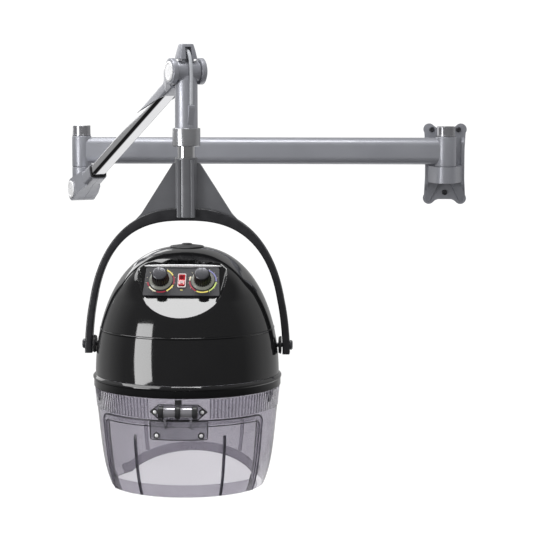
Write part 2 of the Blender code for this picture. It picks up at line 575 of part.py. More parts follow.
def smooth_route(points, spacing):
    """Points a set distance apart along a Catmull-Rom curve through a route."""
    ends = [2 * points[0] - points[1], *points, 2 * points[-1] - points[-2]]
    fine = []
    for a, b, c, d in zip(ends, ends[1:], ends[2:], ends[3:]):
        for i in range(16):
            t = i / 16
            fine.append(0.5 * (2 * b + t * (c - a) + t * t * (2 * a - 5 * b + 4 * c - d)
                               + t ** 3 * (3 * b - a - 3 * c + d)))
    fine.append(points[-1])
    length = sum((q - p).length for p, q in zip(fine, fine[1:]))
    steps = max(2, round(length / spacing))
    route, travelled, index = [fine[0]], 0.0, 0
    for k in range(1, steps):
        target = length * k / steps
        while travelled + (fine[index + 1] - fine[index]).length < target:
            travelled += (fine[index + 1] - fine[index]).length
            index += 1
        span = fine[index + 1] - fine[index]
        route.append(fine[index] + span * ((target - travelled) / span.length))
    return [*route, fine[-1]]


# the lead's route in the head's frame: out of the cover, over the drum and down the tube's front to its gland
LEAD_ROUTE = [Vector(p) for p in ((0.0035, 0, 0.0400), (0.0115, 0, 0.0375), (0.0200, 0, 0.0280),
                                  (0.0252, 0, 0.0120), (0.0268, 0, -0.0060), (0.0266, 0, -0.0260),
                                  (0.0262, 0, -0.0460), (0.0260, 0, -0.0640))]


def make_lead(head):
    """The short stretch of lead between the cover and its gland on the head tube."""
    points = smooth_route(LEAD_ROUTE, 2.6 * CABLE_RADIUS)
    curve = bpy.data.curves.new("supply_lead", "CURVE")
    curve.dimensions = "3D"
    curve.bevel_depth = CABLE_RADIUS
    curve.bevel_resolution = 2
    curve.use_fill_caps = True
    spline = curve.splines.new("POLY")
    spline.points.add(len(points) - 1)
    for point, place in zip(spline.points, points):
        point.co = (*place, 1.0)
    curve.materials.append(material(CABLE_GREY))
    lead = bpy.data.objects.new("supply_lead", curve)
    bpy.context.scene.collection.objects.link(lead)
    lead.parent = head


# ---------------------------------------------------------------- yoke


def yoke_curve(half_span, rise, power, steps=20):
    """Points of one edge of the bent strap, from the right foot over the crown to the left one."""
    points = []
    for i in range(steps + 1):
        angle = math.pi * i / steps
        x = half_span * abs(math.cos(angle)) ** (2 / power)
        z = rise * abs(math.sin(angle)) ** (2 / power)
        x += YOKE_SPLAY * max(0.0, 1 - z / YOKE_SPLAY_HEIGHT)
        points.append((math.copysign(x, math.cos(angle)), z))
    return points


def yoke_strap_outline():
    """The bent strap between its two edges, with rounded feet."""
    outer, inner = yoke_curve(*YOKE_OUTER), yoke_curve(*YOKE_INNER)
    outer_x, inner_x = outer[0][0], inner[0][0]
    right_foot = [(inner_x, YOKE_FOOT + 0.006), (inner_x + 0.004, YOKE_FOOT), (outer_x - 0.004, YOKE_FOOT),
                  (outer_x, YOKE_FOOT + 0.006)]
    left_foot = [(-x, z) for x, z in reversed(right_foot)]
    return outer + left_foot + list(reversed(inner)) + right_foot


def make_yoke(yoke, height):
    """Column, triangular web and bent strap, with the rod that the column is fixed to."""
    strap = prism(yoke_strap_outline(), -YOKE_ARM_DEPTH / 2, YOKE_ARM_DEPTH / 2, "Y")
    frame = add_object("yoke", strap, yoke, PAINT_DARK, (0, 0, -TILT_DROP + height))
    top = TILT_DROP + YOKE_TOP
    half_web = [(0.060, 0.247), (0.105, 0.232), (0.086, 0.2594), (0.0255, top - 0.010)]
    web = prism([(-x, z) for x, z in half_web] + list(reversed(half_web)),
                -YOKE_WEB_DEPTH / 2, YOKE_WEB_DEPTH / 2, "Y")
    bottom = top - YOKE_COLUMN_LENGTH
    column = turned([(0, bottom), (YOKE_COLUMN_RADIUS - 0.003, bottom), (YOKE_COLUMN_RADIUS, bottom + 0.003),
                     (YOKE_COLUMN_RADIUS, top - 0.003), (YOKE_COLUMN_RADIUS - 0.002, top), (0, top)], 32)
    join(frame, web, column)
    rod_bore = turned(rod_profile(ROD_RADIUS + GAP, top - 0.055, top + 0.02, 0), LARGE)
    holes = []
    for side in (-1, 1):
        hole = turned_x(rod_profile(0.0045 + GAP, side * 0.17, side * 0.22, 0) if side > 0
                        else rod_profile(0.0045 + GAP, -0.22, -0.17, 0), 20)
        holes.append(hole)
    cut(frame, rod_bore, *holes)
    rod_bottom = height - TILT_DROP + top - 0.0545
    add_object("swivel_rod", turned(rod_profile(ROD_RADIUS, rod_bottom, height + ROD_TOP, 0.001), LARGE),
               yoke, CHROME)


# ---------------------------------------------------------------- hood


def hood_radius(z):
    """Outer radius of the hood at a height above the tilt axis."""
    share = (z - HOOD_BOTTOM) / (HOOD_TOP - HOOD_BOTTOM)
    return HOOD_RADIUS * max(0.0, 1 - share ** 2) ** 0.40


def console_bulge(z, angle):
    """How far the dome swells beside the control panel; angle is from the front."""
    rise = (z - 0.098) / 0.070
    if not 0 < rise < 1.35:
        return 0.0
    height = math.sin(math.pi * min(rise, 1.35) / 1.35) ** 1.5
    return 0.013 * height * math.exp(-((abs(angle) - math.radians(46)) / math.radians(17)) ** 2)


def dome_solid(inset, low, high, segments=HOOD_SEGMENTS):
    """The dome between two heights, as a solid, its whole surface moved in by inset."""
    bm = bmesh.new()
    rings = []
    levels = 8
    top = HOOD_TOP - inset if high > HOOD_TOP - inset - 1e-6 else high
    for i in range(levels + 1):
        share = i / levels
        share = math.sin(share * math.pi / 2) if top == HOOD_TOP - inset else share
        z = low + (top - low) * share
        radius = hood_radius(min(z + inset * 0.9 * share ** 2, HOOD_TOP)) - inset * (1 - share ** 4)
        if i == levels and top == HOOD_TOP - inset:
            rings.append([bm.verts.new((0, 0, z))])
            continue
        ring = []
        for k in range(segments):
            angle = 2 * math.pi * k / segments
            from_front = (angle + math.pi) % (2 * math.pi) - math.pi
            r = radius + console_bulge(z, from_front)
            ring.append(bm.verts.new((r * math.sin(angle), -r * math.cos(angle), z)))
        rings.append(ring)
    bridge_rings(bm, rings)
    bm.faces.new(rings[0])
    if len(rings[-1]) > 2:
        bm.faces.new(rings[-1])
    return bm


def panel_normal():
    """Outward direction of the control panel's face."""
    return Vector((0, -math.cos(PANEL_TILT), math.sin(PANEL_TILT)))


def panel_up():
    """Direction up the slope of the control panel's face."""
    return Vector((0, math.sin(PANEL_TILT), math.cos(PANEL_TILT)))


def recess_cutter(wall, half_width):
    """The wedge taken out of the dome's front for the panel and its sill, each face moved back by wall."""
    behind = panel_normal() * -(PANEL_THICK + GAP + wall)
    corner_shift = 1 / math.cos(PANEL_TILT) + math.tan(PANEL_TILT)
    top = PANEL_TOP + behind + panel_up() * (0.002 + corner_shift * wall)
    bottom = PANEL_BOTTOM + behind - panel_up() * 0.0006
    far = bottom + Vector((0, -math.cos(SILL_SLOPE), -math.sin(SILL_SLOPE))) * 0.12
    lip = PANEL_TOP + Vector((0, -0.113, 0.0056 + wall))
    outline = [(lip.y, lip.z), (top.y, top.z), (bottom.y, bottom.z), (far.y, far.z), (-0.32, far.z),
               (-0.32, lip.z)]
    return prism(outline, -half_width, half_width, "X")


def make_hood_shells(hood):
    """Upper and lower dome, the rim ring and the small cap on top."""
    upper = add_object("hood_upper", dome_solid(0.0, HOOD_SEAM + GAP, HOOD_TOP + 1), hood, BLACK_GLOSS)
    cut(upper, recess_cutter(0.0, RECESS_HALF_WIDTH))
    core = add_object("hood_core", dome_solid(HOOD_WALL, HOOD_SEAM - 0.01, HOOD_TOP + 1), hood, BLACK_MATT)
    cut(core, recess_cutter(HOOD_WALL, RECESS_HALF_WIDTH + HOOD_WALL))
    core.hide_render = True
    core.display_type = "WIRE"
    hollow = upper.modifiers.new("Hollow", "BOOLEAN")
    hollow.operation = "DIFFERENCE"
    hollow.solver = "EXACT"
    hollow.object = core
    shaft_holes = []
    for x in (-KNOB_X, KNOB_X):
        hole = turned(rod_profile(0.0045, -0.02, 0.01, 0), SMALL)
        place_on_panel(hole, x)
        shaft_holes.append(hole)
    rocker_hole = block((-0.0060, -0.0125, -0.02), (0.0060, 0.0125, 0.01))
    place_on_panel(rocker_hole, 0.0)
    cap_hole = turned(rod_profile(0.004, HOOD_TOP - 0.02, HOOD_TOP + 0.02, 0), SMALL)
    cut(upper, *shaft_holes, rocker_hole, cap_hole)
    lower = bmesh.new()
    rings = []
    levels = [HOOD_BOTTOM + (HOOD_SEAM - HOOD_BOTTOM) * i / 2 for i in range(3)]
    outline = [(hood_radius(z), z) for z in levels] + [(hood_radius(z) - HOOD_WALL, z)
                                                       for z in reversed(levels)]
    for radius, z in outline:
        angles = [2 * math.pi * k / HOOD_SEGMENTS for k in range(HOOD_SEGMENTS)]
        rings.append([lower.verts.new((radius * math.sin(a), -radius * math.cos(a), z)) for a in angles])
    bridge_rings(lower, rings, closed_along=True)
    lower_shell = add_object("hood_lower", lower, hood, BLACK_GLOSS)
    bolt_holes = [turned_x(rod_profile(0.0045 + GAP, low, low + 0.05, 0), MEDIUM) for low in (-0.200, 0.150)]
    cut(lower_shell, *bolt_holes)
    rim = [(RIM_RADIUS - 0.0105, RIM_TOP), (RIM_RADIUS - 0.001, RIM_TOP), (RIM_RADIUS, RIM_TOP - 0.0015),
           (RIM_RADIUS, RIM_TOP - 0.005), (RIM_RADIUS - 0.0015, RIM_TOP - 0.0065),
           (RIM_RADIUS - 0.0015, RIM_BOTTOM), (RIM_RADIUS - 0.0035, RIM_BOTTOM),
           (RIM_RADIUS - 0.0035, RIM_TOP - 0.009), (RIM_RADIUS - 0.0105, RIM_TOP - 0.009)]
    add_object("rim_ring", turned(rim, HOOD_SEGMENTS, hollow=True), hood, BLACK_GLOSS)
    base = HOOD_TOP + 0.0015
    cap = [(0, base), (0.029, base - 0.0028), (0.033, base - 0.0034), (0.0335, base - 0.0022),
           (0.032, base - 0.001), (0.0105, base + 0.0022), (0.009, base + 0.0040), (0, base + 0.0045)]
    add_object("top_cap", turned(cap, LARGE), hood, BLACK_MATT)


def place_on_panel(bm, x):
    """Move a solid modelled about +Z onto the control panel: +Z becomes the panel's outward normal."""
    axes = Matrix((Vector((1, 0, 0)), panel_up(), panel_normal())).transposed().to_4x4()
    bmesh.ops.transform(bm, matrix=axes, verts=bm.verts)
    bmesh.ops.translate(bm, verts=bm.verts, vec=panel_point(x))


def panel_turn():
    """Rotation that takes +Z to the panel's normal."""
    return (math.radians(90) - PANEL_TILT, 0, 0)


def panel_point(x):
    """A point on the panel's face, on its middle line."""
    return (PANEL_TOP + PANEL_BOTTOM) / 2 + Vector((x, 0, 0))


def make_panel(hood):
    """Control panel with the timer and thermostat behind it and the switch's frame."""
    half_length = 0.0325
    corners = [(-0.060, half_length), (-PANEL_WIDTH / 2, half_length - 0.030),
               (-PANEL_WIDTH / 2, -half_length), (PANEL_WIDTH / 2, -half_length),
               (PANEL_WIDTH / 2, half_length - 0.030), (0.060, half_length)]
    plate = add_object("control_panel", prism(corners, -PANEL_THICK, 0, "Z"), hood, PAINT_DARK,
                       panel_point(0), panel_turn())
    holes = [turned(rod_profile(0.0045, -0.02, 0.02, 0), SMALL) for _ in range(2)]
    for x, hole in zip((-KNOB_X, KNOB_X), holes):
        bmesh.ops.translate(hole, verts=hole.verts, vec=(x, 0, 0))
    cut(plate, *holes, block((-0.0060, -0.0125, -0.02), (0.0060, 0.0125, 0.02)))
    behind = PANEL_THICK + HOOD_WALL + 3 * GAP + 0.0008
    for x, word in ((-KNOB_X, "timer"), (KNOB_X, "heat")):
        casing = block((-0.019, -0.019, -behind - 0.024), (0.019, 0.019, -behind))
        add_object(f"{word}_unit", casing, hood, WHITE, panel_point(x), panel_turn())
    frame = block((-0.0078, -0.0150, GAP), (0.0078, 0.0150, 0.0022))
    surround = add_object("switch_frame", frame, hood, WHITE, panel_point(0), panel_turn())
    cut(surround, block((-0.0056, -0.0121, -0.01), (0.0056, 0.0121, 0.01)))


def make_knob(name, frame):
    """A control knob: dished skirt, fluted grip and short shaft."""
    profile = [(0, -0.0058), (0.003, -0.0058), (0.003, GAP + 0.0004), (0.0215, GAP + 0.0004),
               (0.0222, 0.0035), (0.0190, 0.0052), (0.0165, 0.0075), (0.0150, 0.0270),
               (0.0138, KNOB_HEIGHT - 0.0008), (0, KNOB_HEIGHT)]
    add_object(name, turned(profile, MEDIUM), frame, BLACK_MATT)


def make_rocker(frame):
    """The mains switch's rocker, a shallow V seen from the side."""
    outline = [(-0.0108, 0.0010), (-0.0108, 0.0060), (0.0, 0.0032), (0.0108, 0.0045), (0.0108, 0.0010),
               (0.006, -0.0045), (-0.006, -0.0045)]
    add_object("power_rocker", prism(outline, -0.0052, 0.0052, "X"), frame, RED)


def make_air_unit(hood):
    """Motor, its bracket, heater, screen and inner bowl, from the top down."""
    motor = [(0, 0.168), (0.012, 0.168), (0.012, 0.160), (0.034, 0.158), (0.034, 0.112), (0.012, 0.108),
             (0, 0.108)]
    motor_obj = add_object("fan_motor", turned(motor, MEDIUM), hood, ALUMINIUM)
    cut(motor_obj, turned(rod_profile(0.003 + GAP, 0.09, 0.130, 0), SMALL))
    collar = ring_profile(0.0345, 0.040, 0.1175, 0.1245)
    bracket = add_object("motor_bracket", turned(collar, MEDIUM, hollow=True), hood, STEEL)
    legs = []
    for i in range(3):
        leg = prism([(0.0370, 0.1190), (0.1265, 0.1190), (0.1265, 0.0450), (0.1590, 0.0450), (0.1590, 0.0480),
                     (0.1295, 0.0480), (0.1295, 0.1220), (0.0370, 0.1220)], -0.006, 0.006, "Y")
        bmesh.ops.rotate(leg, verts=leg.verts, matrix=Matrix.Rotation(math.radians(90 + 120 * i), 3, "Z"))
        legs.append(leg)
    join(bracket, *legs)
    heater = [(0.090 + 0.007 * math.cos(a), 0.028 + 0.007 * math.sin(a))
              for a in (2 * math.pi * i / 6 for i in range(6))]
    add_object("heater_ring", turned(heater, LARGE, hollow=True), hood, BRASS)
    shade = [(0.0, 0.0055), (0.080, 0.0050), (0.135, -0.0120), (0.166, -0.0500), (0.1725, -0.0500),
             (0.1725, -0.0520), (0.1640, -0.0520), (0.132, -0.0145), (0.079, 0.0025), (0.0, 0.0030)]
    bowl = add_object("air_bowl", turned(shade, LARGE), hood, ALUMINIUM)
    vents = []
    for i in range(6):
        angle = 2 * math.pi * i / 6
        vent = turned(rod_profile(0.011, -0.03, 0.03, 0), SMALL)
        bmesh.ops.translate(vent, verts=vent.verts, vec=(0.062 * math.cos(angle), 0.062 * math.sin(angle), 0))
        vents.append(vent)
    cut(bowl, *vents)


def make_fan(frame):
    """Backward-curved impeller on the motor's shaft, as one moulding."""
    hub = turned([(0, 0.0), (0.012, 0.0), (0.012, 0.012), (0.003, 0.014), (0.003, 0.056), (0, 0.056)], SMALL)
    fan = add_object("fan_wheel", hub, frame, BLACK_MATT)
    join(fan, turned([(0, 0.001), (0.062, 0.001), (0.062, 0.003), (0, 0.003)], LARGE))
    for i in range(9):
        blade = prism([(0.018, -0.001), (0.060, -0.001), (0.060, 0.001), (0.018, 0.001)], 0.002, 0.020, "Z")
        bmesh.ops.rotate(blade, verts=blade.verts, matrix=Matrix.Rotation(math.radians(40 * i), 3, "Z"))
        join(fan, blade)


# ---------------------------------------------------------------- skirt and visor


def skirt_radius(z):
    """Outer radius of the clear skirt, which draws in towards its hem."""
    drop = max(0.0, RIM_BOTTOM - z)
    length = RIM_BOTTOM - SKIRT_BOTTOM
    return 0.1798 - 0.098 * drop - 0.0115 * (drop / length) ** 6


def skirt_levels(high, low, steps):
    """Heights from high to low, closer together near the hem."""
    return [high + (low - high) * (1 - (1 - i / steps) ** 1.3) for i in range(steps + 1)]


def make_skirt(hood):
    """Clear skirt: full round, with the face opening in front and the neck arch behind."""
    heights = skirt_levels(SKIRT_TOP, SKIRT_BOTTOM, 5)
    outer = [(skirt_radius(z), z) for z in heights]
    inner = [(skirt_radius(z) - SKIRT_WALL, z) for z in reversed(heights)]
    skirt = add_object("skirt", turned(outer + inner, HOOD_SEGMENTS, hollow=True), hood, SMOKED)
    half = 0.122
    face = prism([(-half, -0.3), (half, -0.3), (half * 1.02, -0.140), (half - 0.010, -0.128),
                  (-half + 0.010, -0.128), (-half * 1.02, -0.140)], -0.3, -0.03, "Y")
    arch = [(0.113 * math.cos(math.pi * i / 14), -0.281 + 0.052 * math.sin(math.pi * i / 14))
            for i in range(15)]
    neck = prism(arch, 0.05, 0.3, "Y")
    cut(skirt, face, neck)
    for side, word in ((-1, "left"), (1, "right")):
        wedge = turned_sector(lambda z: skirt_radius(z) + 0.0022 + 0.06 * (z + 0.100),
                              lambda z: skirt_radius(z) + GAP, even_heights(-0.1000, -0.0790, 1),
                              lambda z: math.radians(1.2 + 150 * (z + 0.100)), 2)
        add_object(f"skirt_clip_{word}", wedge, hood, BLACK_MATT, (0, 0, 0), (0, 0, side * math.radians(67)))


def turned_sector(outer, inner, heights, half_width, columns):
    """A patch of a turned wall about the front (-Y); half_width(z) is an angle."""
    bm = bmesh.new()
    layers = []
    for radius_of in (outer, inner):
        layer = []
        for z in heights:
            spread = half_width(z)
            row = []
            for k in range(columns + 1):
                angle = -spread + 2 * spread * k / columns
                row.append(bm.verts.new((radius_of(z) * math.sin(angle), -radius_of(z) * math.cos(angle), z)))
            layer.append(row)
        layers.append(layer)
    front, back = layers
    last = len(heights) - 1
    for i in range(last):
        for k in range(columns):
            for layer in layers:
                bm.faces.new((layer[i][k], layer[i][k + 1], layer[i + 1][k + 1], layer[i + 1][k]))
        for k in (0, columns):
            bm.faces.new((front[i][k], front[i + 1][k], back[i + 1][k], back[i][k]))
    for k in range(columns):
        for i in (0, last):
            bm.faces.new((front[i][k], front[i][k + 1], back[i][k + 1], back[i][k]))
    return bm


def even_heights(low, high, rows):
    """Evenly spaced heights from low to high."""
    return [low + (high - low) * i / rows for i in range(rows + 1)]


def visor_clearance(z):
    """Inner radius of the visor."""
    return skirt_radius(z) + VISOR_CLEARANCE


def make_visor(visor, skirt_frame_offset):
    """The flip-up visor over the face opening, with its stiffening fins and hinge leaf."""
    shell = turned_sector(lambda z: visor_clearance(z) + VISOR_WALL, visor_clearance,
                          even_heights(VISOR_BOTTOM, VISOR_TOP, 5), lambda z: VISOR_ANGLE, 14)
    panel = add_object("visor", shell, visor, SMOKED, skirt_frame_offset)
    corner_cuts = []
    for side in (-1, 1):
        corner = prism([(side * 0.156, VISOR_TOP - 0.014), (side * 0.146, VISOR_TOP + 0.001),
                        (side * 0.20, VISOR_TOP + 0.001), (side * 0.20, VISOR_TOP - 0.014)], -0.3, 0.0, "Y")
        corner_cuts.append(corner)
    fins = []
    for side in (-1, 1):
        fin = turned_sector(lambda z: visor_clearance(z) + VISOR_WALL + 0.0035,
                            lambda z: visor_clearance(z) + 0.001,
                            even_heights(VISOR_BOTTOM + 0.0015, -0.150, 3), lambda z: math.radians(0.45), 1)
        bmesh.ops.rotate(fin, verts=fin.verts, matrix=Matrix.Rotation(side * math.radians(28.5), 3, "Z"))
        fins.append(fin)
    join(panel, *fins)
    cut(panel, *corner_cuts)
    make_lower_leaf(visor, skirt_frame_offset)


def make_lower_leaf(visor, offset):
    """Hinge leaf on the visor, with the two knuckles that turn on the pin."""
    leaf = turned_sector(lambda z: visor_clearance(z) + VISOR_WALL + 0.0025,
                         lambda z: visor_clearance(z) + VISOR_WALL + GAP,
                         even_heights(-0.1555, -0.1195, 1), lambda z: math.radians(17.5), 8)
    part = add_object("visor_leaf", leaf, visor, BLACK_MATT, offset)
    knuckles = []
    bracket = [(-0.1928, HINGE_Z), (-0.1922, -0.1260), (-0.1790, -0.1360), (-0.1790, -0.1205),
               (-0.1840, -0.1190), (-0.1847, HINGE_Z)]
    for x in (-0.014, 0.014):
        web = prism(bracket, x - 0.0050, x + 0.0050, "X")
        barrel = turned_x(rod_profile(0.0048, x - 0.0055, x + 0.0055, 0.0004), SMALL)
        bmesh.ops.translate(barrel, verts=barrel.verts, vec=(0, HINGE_Y, HINGE_Z))
        knuckles += [web, barrel]
    join(part, *knuckles)
    bore = turned_x(rod_profile(0.0024 + GAP, -0.05, 0.05, 0), SMALL)
    bmesh.ops.translate(bore, verts=bore.verts, vec=(0, HINGE_Y, HINGE_Z))
    cut(part, bore)


def make_upper_leaf(hood):
    """Hinge leaf on the skirt, the post that ties it to the rim, and the bright pin."""
    def outer(z):
        return visor_clearance(z) + VISOR_WALL + 0.0025

    def inner(z):
        return skirt_radius(z) + GAP

    def hexagon(z):
        return math.radians(13.0 + 4.0 * (1 - abs(z + 0.102) / 0.0145))

    leaf = turned_sector(outer, inner, [-0.1165, -0.102, -0.0875], hexagon, 8)
    part = add_object("skirt_leaf", leaf, hood, BLACK_MATT)
    post = turned_sector(outer, inner, [-0.0880, -0.0785], lambda z: math.radians(0.9), 1)
    lugs = []
    for x in (-0.028, 0.0, 0.028):
        lug = block((x - 0.0035, HINGE_Y - 0.001, HINGE_Z - 0.004), (x + 0.0035, -0.1790, HINGE_Z + 0.004))
        barrel = turned_x(rod_profile(0.0048, x - 0.004, x + 0.004, 0.0004), SMALL)
        bmesh.ops.translate(barrel, verts=barrel.verts, vec=(0, HINGE_Y, HINGE_Z))
        lugs += [lug, barrel]
    join(part, post, *lugs)
    bore = turned_x(rod_profile(0.0024 + GAP, -0.05, 0.05, 0), SMALL)
    bmesh.ops.translate(bore, verts=bore.verts, vec=(0, HINGE_Y, HINGE_Z))
    cut(part, bore)
    pin = turned_x(rod_profile(0.0024, -0.0335, 0.0335, 0.0004), SMALL)
    add_object("hinge_pin", pin, hood, CHROME, (0, HINGE_Y, HINGE_Z))


def make_tilt_pivots(hood):
    """Friction hubs between the hood and the yoke's ends, with their bolts."""
    for side, word in ((-1, "left"), (1, "right")):
        inner = hood_radius(-TILT_HUB_RADIUS) + 0.0012
        outer = YOKE_INNER[0] + YOKE_SPLAY / 2
        hub = turned_x([(0, side * inner), (TILT_HUB_RADIUS - 0.002, side * inner),
                        (TILT_HUB_RADIUS, side * outer), (0, side * outer)], MEDIUM)
        add_object(f"tilt_hub_{word}", hub, hood, BLACK_MATT)
        cut(bpy.data.objects[f"tilt_hub_{word}"], turned_x(rod_profile(0.0045 + GAP, -0.22, 0.22, 0), MEDIUM))
        start, end = 0.160, YOKE_OUTER[0] + YOKE_SPLAY + GAP
        bolt = [(0, start), (0.010, start), (0.010, 0.166), (0.0045, 0.166), (0.0045, end), (0.0095, end),
                (0.0095, end + 0.004), (0.008, end + 0.0055), (0, end + 0.0055)]
        add_object(f"tilt_bolt_{word}", turned_x([(r, side * x) for r, x in bolt], MEDIUM), hood, PAINT_DARK)


# ---------------------------------------------------------------- assembly


def main():
    for old in list(bpy.data.objects):
        bpy.data.objects.remove(old, do_unlink=True)

    wall = frame_empty("frame_wall")
    make_wall_bracket(wall)
    spindle = frame_empty("frame_spindle", wall, (0, WALL_AXIS_Y, 0))
    make_spindle("wall_spindle", spindle, BOSS_BOTTOM + 0.0063, WALL_SLEEVE_TOP, 0.019, PAINT_DARK)

    arm = frame_empty("frame_arm_swing", wall, (0, WALL_AXIS_Y, 0))
    make_horizontal_arm(arm)

    elbow = frame_empty("frame_elbow_swivel", arm, (ELBOW_X, 0, 0), (0, 0, ELBOW_HEADING))
    make_elbow(elbow)
    make_link_pin("elbow_link_pin", elbow, LIFT_Z - LINK_DROP)

    lift = frame_empty("frame_arm_lift", elbow, (0, 0, LIFT_Z), (0, -LIFT_REST, 0))
    cheek = make_socket(lift)
    make_pin_and_caps("elbow", lift, ELBOW_PIN_RADIUS, cheek, 0.016)
    make_lift_tube(lift)
    knuckle_cheek = make_arm_head(lift)
    knuckle_pin = frame_empty("frame_knuckle_pin", lift, (LIFT_LENGTH, 0, 0))
    make_pin_and_caps("knuckle", knuckle_pin, KNUCKLE_PIN_RADIUS, knuckle_cheek, 0.0175)

    link = frame_empty("frame_link", elbow, (0, 0, LIFT_Z - LINK_DROP), (0, -LIFT_REST, 0))
    make_levelling_rod(link)

    head = frame_empty("frame_head_level", lift, (LIFT_LENGTH, 0, 0), (0, LIFT_REST, 0))
    make_head(head)
    make_link_pin("head_link_pin", head, -LINK_DROP)
    make_lead(head)

    yoke = frame_empty("frame_yoke_swivel", head, (0, 0, 0), (0, 0, -ELBOW_HEADING))
    make_yoke(yoke, 0.0)

    hood = frame_empty("frame_hood_tilt", yoke, (0, 0, -TILT_DROP))
    make_hood_shells(hood)
    make_panel(hood)
    make_air_unit(hood)
    make_skirt(hood)
    make_upper_leaf(hood)
    make_tilt_pivots(hood)

    for name, x in (("timer_knob", -KNOB_X), ("heat_knob", KNOB_X)):
        knob_frame = frame_empty(f"frame_{name}", hood, panel_point(x), panel_turn())
        make_knob(name, knob_frame)
    rocker = frame_empty("frame_power_rocker", hood, panel_point(0), panel_turn())
    make_rocker(rocker)
    fan = frame_empty("frame_fan", hood, (0, 0, 0.072))
    make_fan(fan)
    visor = frame_empty("frame_visor_flip", hood, (0, HINGE_Y, HINGE_Z))
    make_visor(visor, (0, -HINGE_Y, -HINGE_Z))


main()
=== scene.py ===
"""Looks of the wall-mounted hood hair dryer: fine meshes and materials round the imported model."""
import json
import math

import bmesh
import bpy
import numpy as np
from mathutils import Matrix, Vector


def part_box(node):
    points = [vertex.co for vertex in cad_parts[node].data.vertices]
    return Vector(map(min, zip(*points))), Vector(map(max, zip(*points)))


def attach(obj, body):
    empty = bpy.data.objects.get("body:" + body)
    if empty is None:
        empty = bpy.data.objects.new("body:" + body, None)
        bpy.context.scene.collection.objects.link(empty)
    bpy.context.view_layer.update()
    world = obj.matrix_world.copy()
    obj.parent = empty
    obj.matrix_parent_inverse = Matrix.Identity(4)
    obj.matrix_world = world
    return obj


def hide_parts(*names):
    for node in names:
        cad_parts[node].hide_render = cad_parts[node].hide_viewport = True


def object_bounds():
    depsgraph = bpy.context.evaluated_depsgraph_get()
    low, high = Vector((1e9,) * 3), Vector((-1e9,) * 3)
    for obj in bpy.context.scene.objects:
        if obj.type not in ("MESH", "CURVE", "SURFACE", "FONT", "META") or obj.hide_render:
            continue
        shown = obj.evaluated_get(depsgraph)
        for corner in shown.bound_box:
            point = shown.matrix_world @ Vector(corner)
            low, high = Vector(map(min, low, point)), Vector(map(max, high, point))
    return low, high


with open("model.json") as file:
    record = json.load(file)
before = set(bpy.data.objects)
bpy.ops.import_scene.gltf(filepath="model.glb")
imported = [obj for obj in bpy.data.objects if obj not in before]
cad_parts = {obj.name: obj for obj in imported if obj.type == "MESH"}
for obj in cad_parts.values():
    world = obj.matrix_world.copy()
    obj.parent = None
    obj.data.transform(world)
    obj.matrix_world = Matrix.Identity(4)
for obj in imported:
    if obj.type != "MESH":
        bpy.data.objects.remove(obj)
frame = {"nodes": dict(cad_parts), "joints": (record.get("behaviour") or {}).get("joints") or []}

CAD_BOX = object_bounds()
NODES = frame["nodes"]
JOINTS = {joint["name"]: joint for joint in frame["joints"]}
GAP = 0.0003  # air between touching pieces
UP = Vector((0, 0, 1))
TO_X = Matrix.Rotation(math.pi / 2, 4, "Y")  # turns a solid made about +Z to lie along +X
TO_Y = Matrix.Rotation(-math.pi / 2, 4, "X")

# ---------------------------------------------------------------- frames of the bodies


def joint_point(name):
    return Vector(JOINTS[name]["pos_m"])


def frame_at(origin, x_axis, z_hint):
    """The matrix of a frame from its origin, its x axis and a direction near its z axis."""
    x_axis = x_axis.normalized()
    z_axis = (z_hint - z_hint.dot(x_axis) * x_axis).normalized()
    matrix = Matrix((x_axis, z_axis.cross(x_axis), z_axis)).transposed().to_4x4()
    matrix.translation = origin
    return matrix


def size(node, axis):
    low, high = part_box(node)
    return high[axis] - low[axis]


KNUCKLE = joint_point("head_level")
REACH = KNUCKLE - joint_point("arm_lift")
LEVEL_REACH = Vector((REACH.x, REACH.y, 0))
WALL = Matrix.Identity(4)
ARM = Matrix.Translation(joint_point("arm_swing"))
ELBOW = frame_at(joint_point("elbow_swivel"), LEVEL_REACH, UP)
LIFT = frame_at(joint_point("arm_lift"), REACH, UP)
HEAD = frame_at(KNUCKLE, LEVEL_REACH, UP)
HOOD = Matrix.Translation(joint_point("hood_tilt"))
PANEL_OUT = -Vector(JOINTS["timer_turn"]["axis"])
PANEL = frame_at(joint_point("switch_rock"), Vector((1, 0, 0)), PANEL_OUT)
KNOB_X = joint_point("heat_turn").x - joint_point("switch_rock").x

# ---------------------------------------------------------------- shapes


def fillet(outline, radius, steps=5, closed=True):
    """An outline with its corners rounded; a corner may give its own radius as a third number."""
    points = [Vector(p[:2]) for p in outline]
    rounded = []
    for i, corner in enumerate(points):
        own = outline[i][2] if len(outline[i]) > 2 else radius
        at_end = not closed and i in (0, len(points) - 1)
        before = points[i - 1] - corner
        after = points[(i + 1) % len(points)] - corner
        half = before.angle(after, math.pi) / 2
        if at_end or own <= 0 or half > math.radians(87):
            rounded.append(tuple(corner))
            continue
        reach = min(own / math.tan(half), 0.48 * before.length, 0.48 * after.length)
        towards = (before.normalized() + after.normalized()).normalized()
        centre = corner + towards * reach / math.cos(half)
        first = corner + before.normalized() * reach - centre
        last = corner + after.normalized() * reach - centre
        start = math.atan2(first.y, first.x)
        turn = (math.atan2(last.y, last.x) - start + math.pi) % (2 * math.pi) - math.pi
        for k in range(steps + 1):
            angle = start + turn * k / steps
            rounded.append((centre.x + first.length * math.cos(angle),
                            centre.y + first.length * math.sin(angle)))
    return rounded


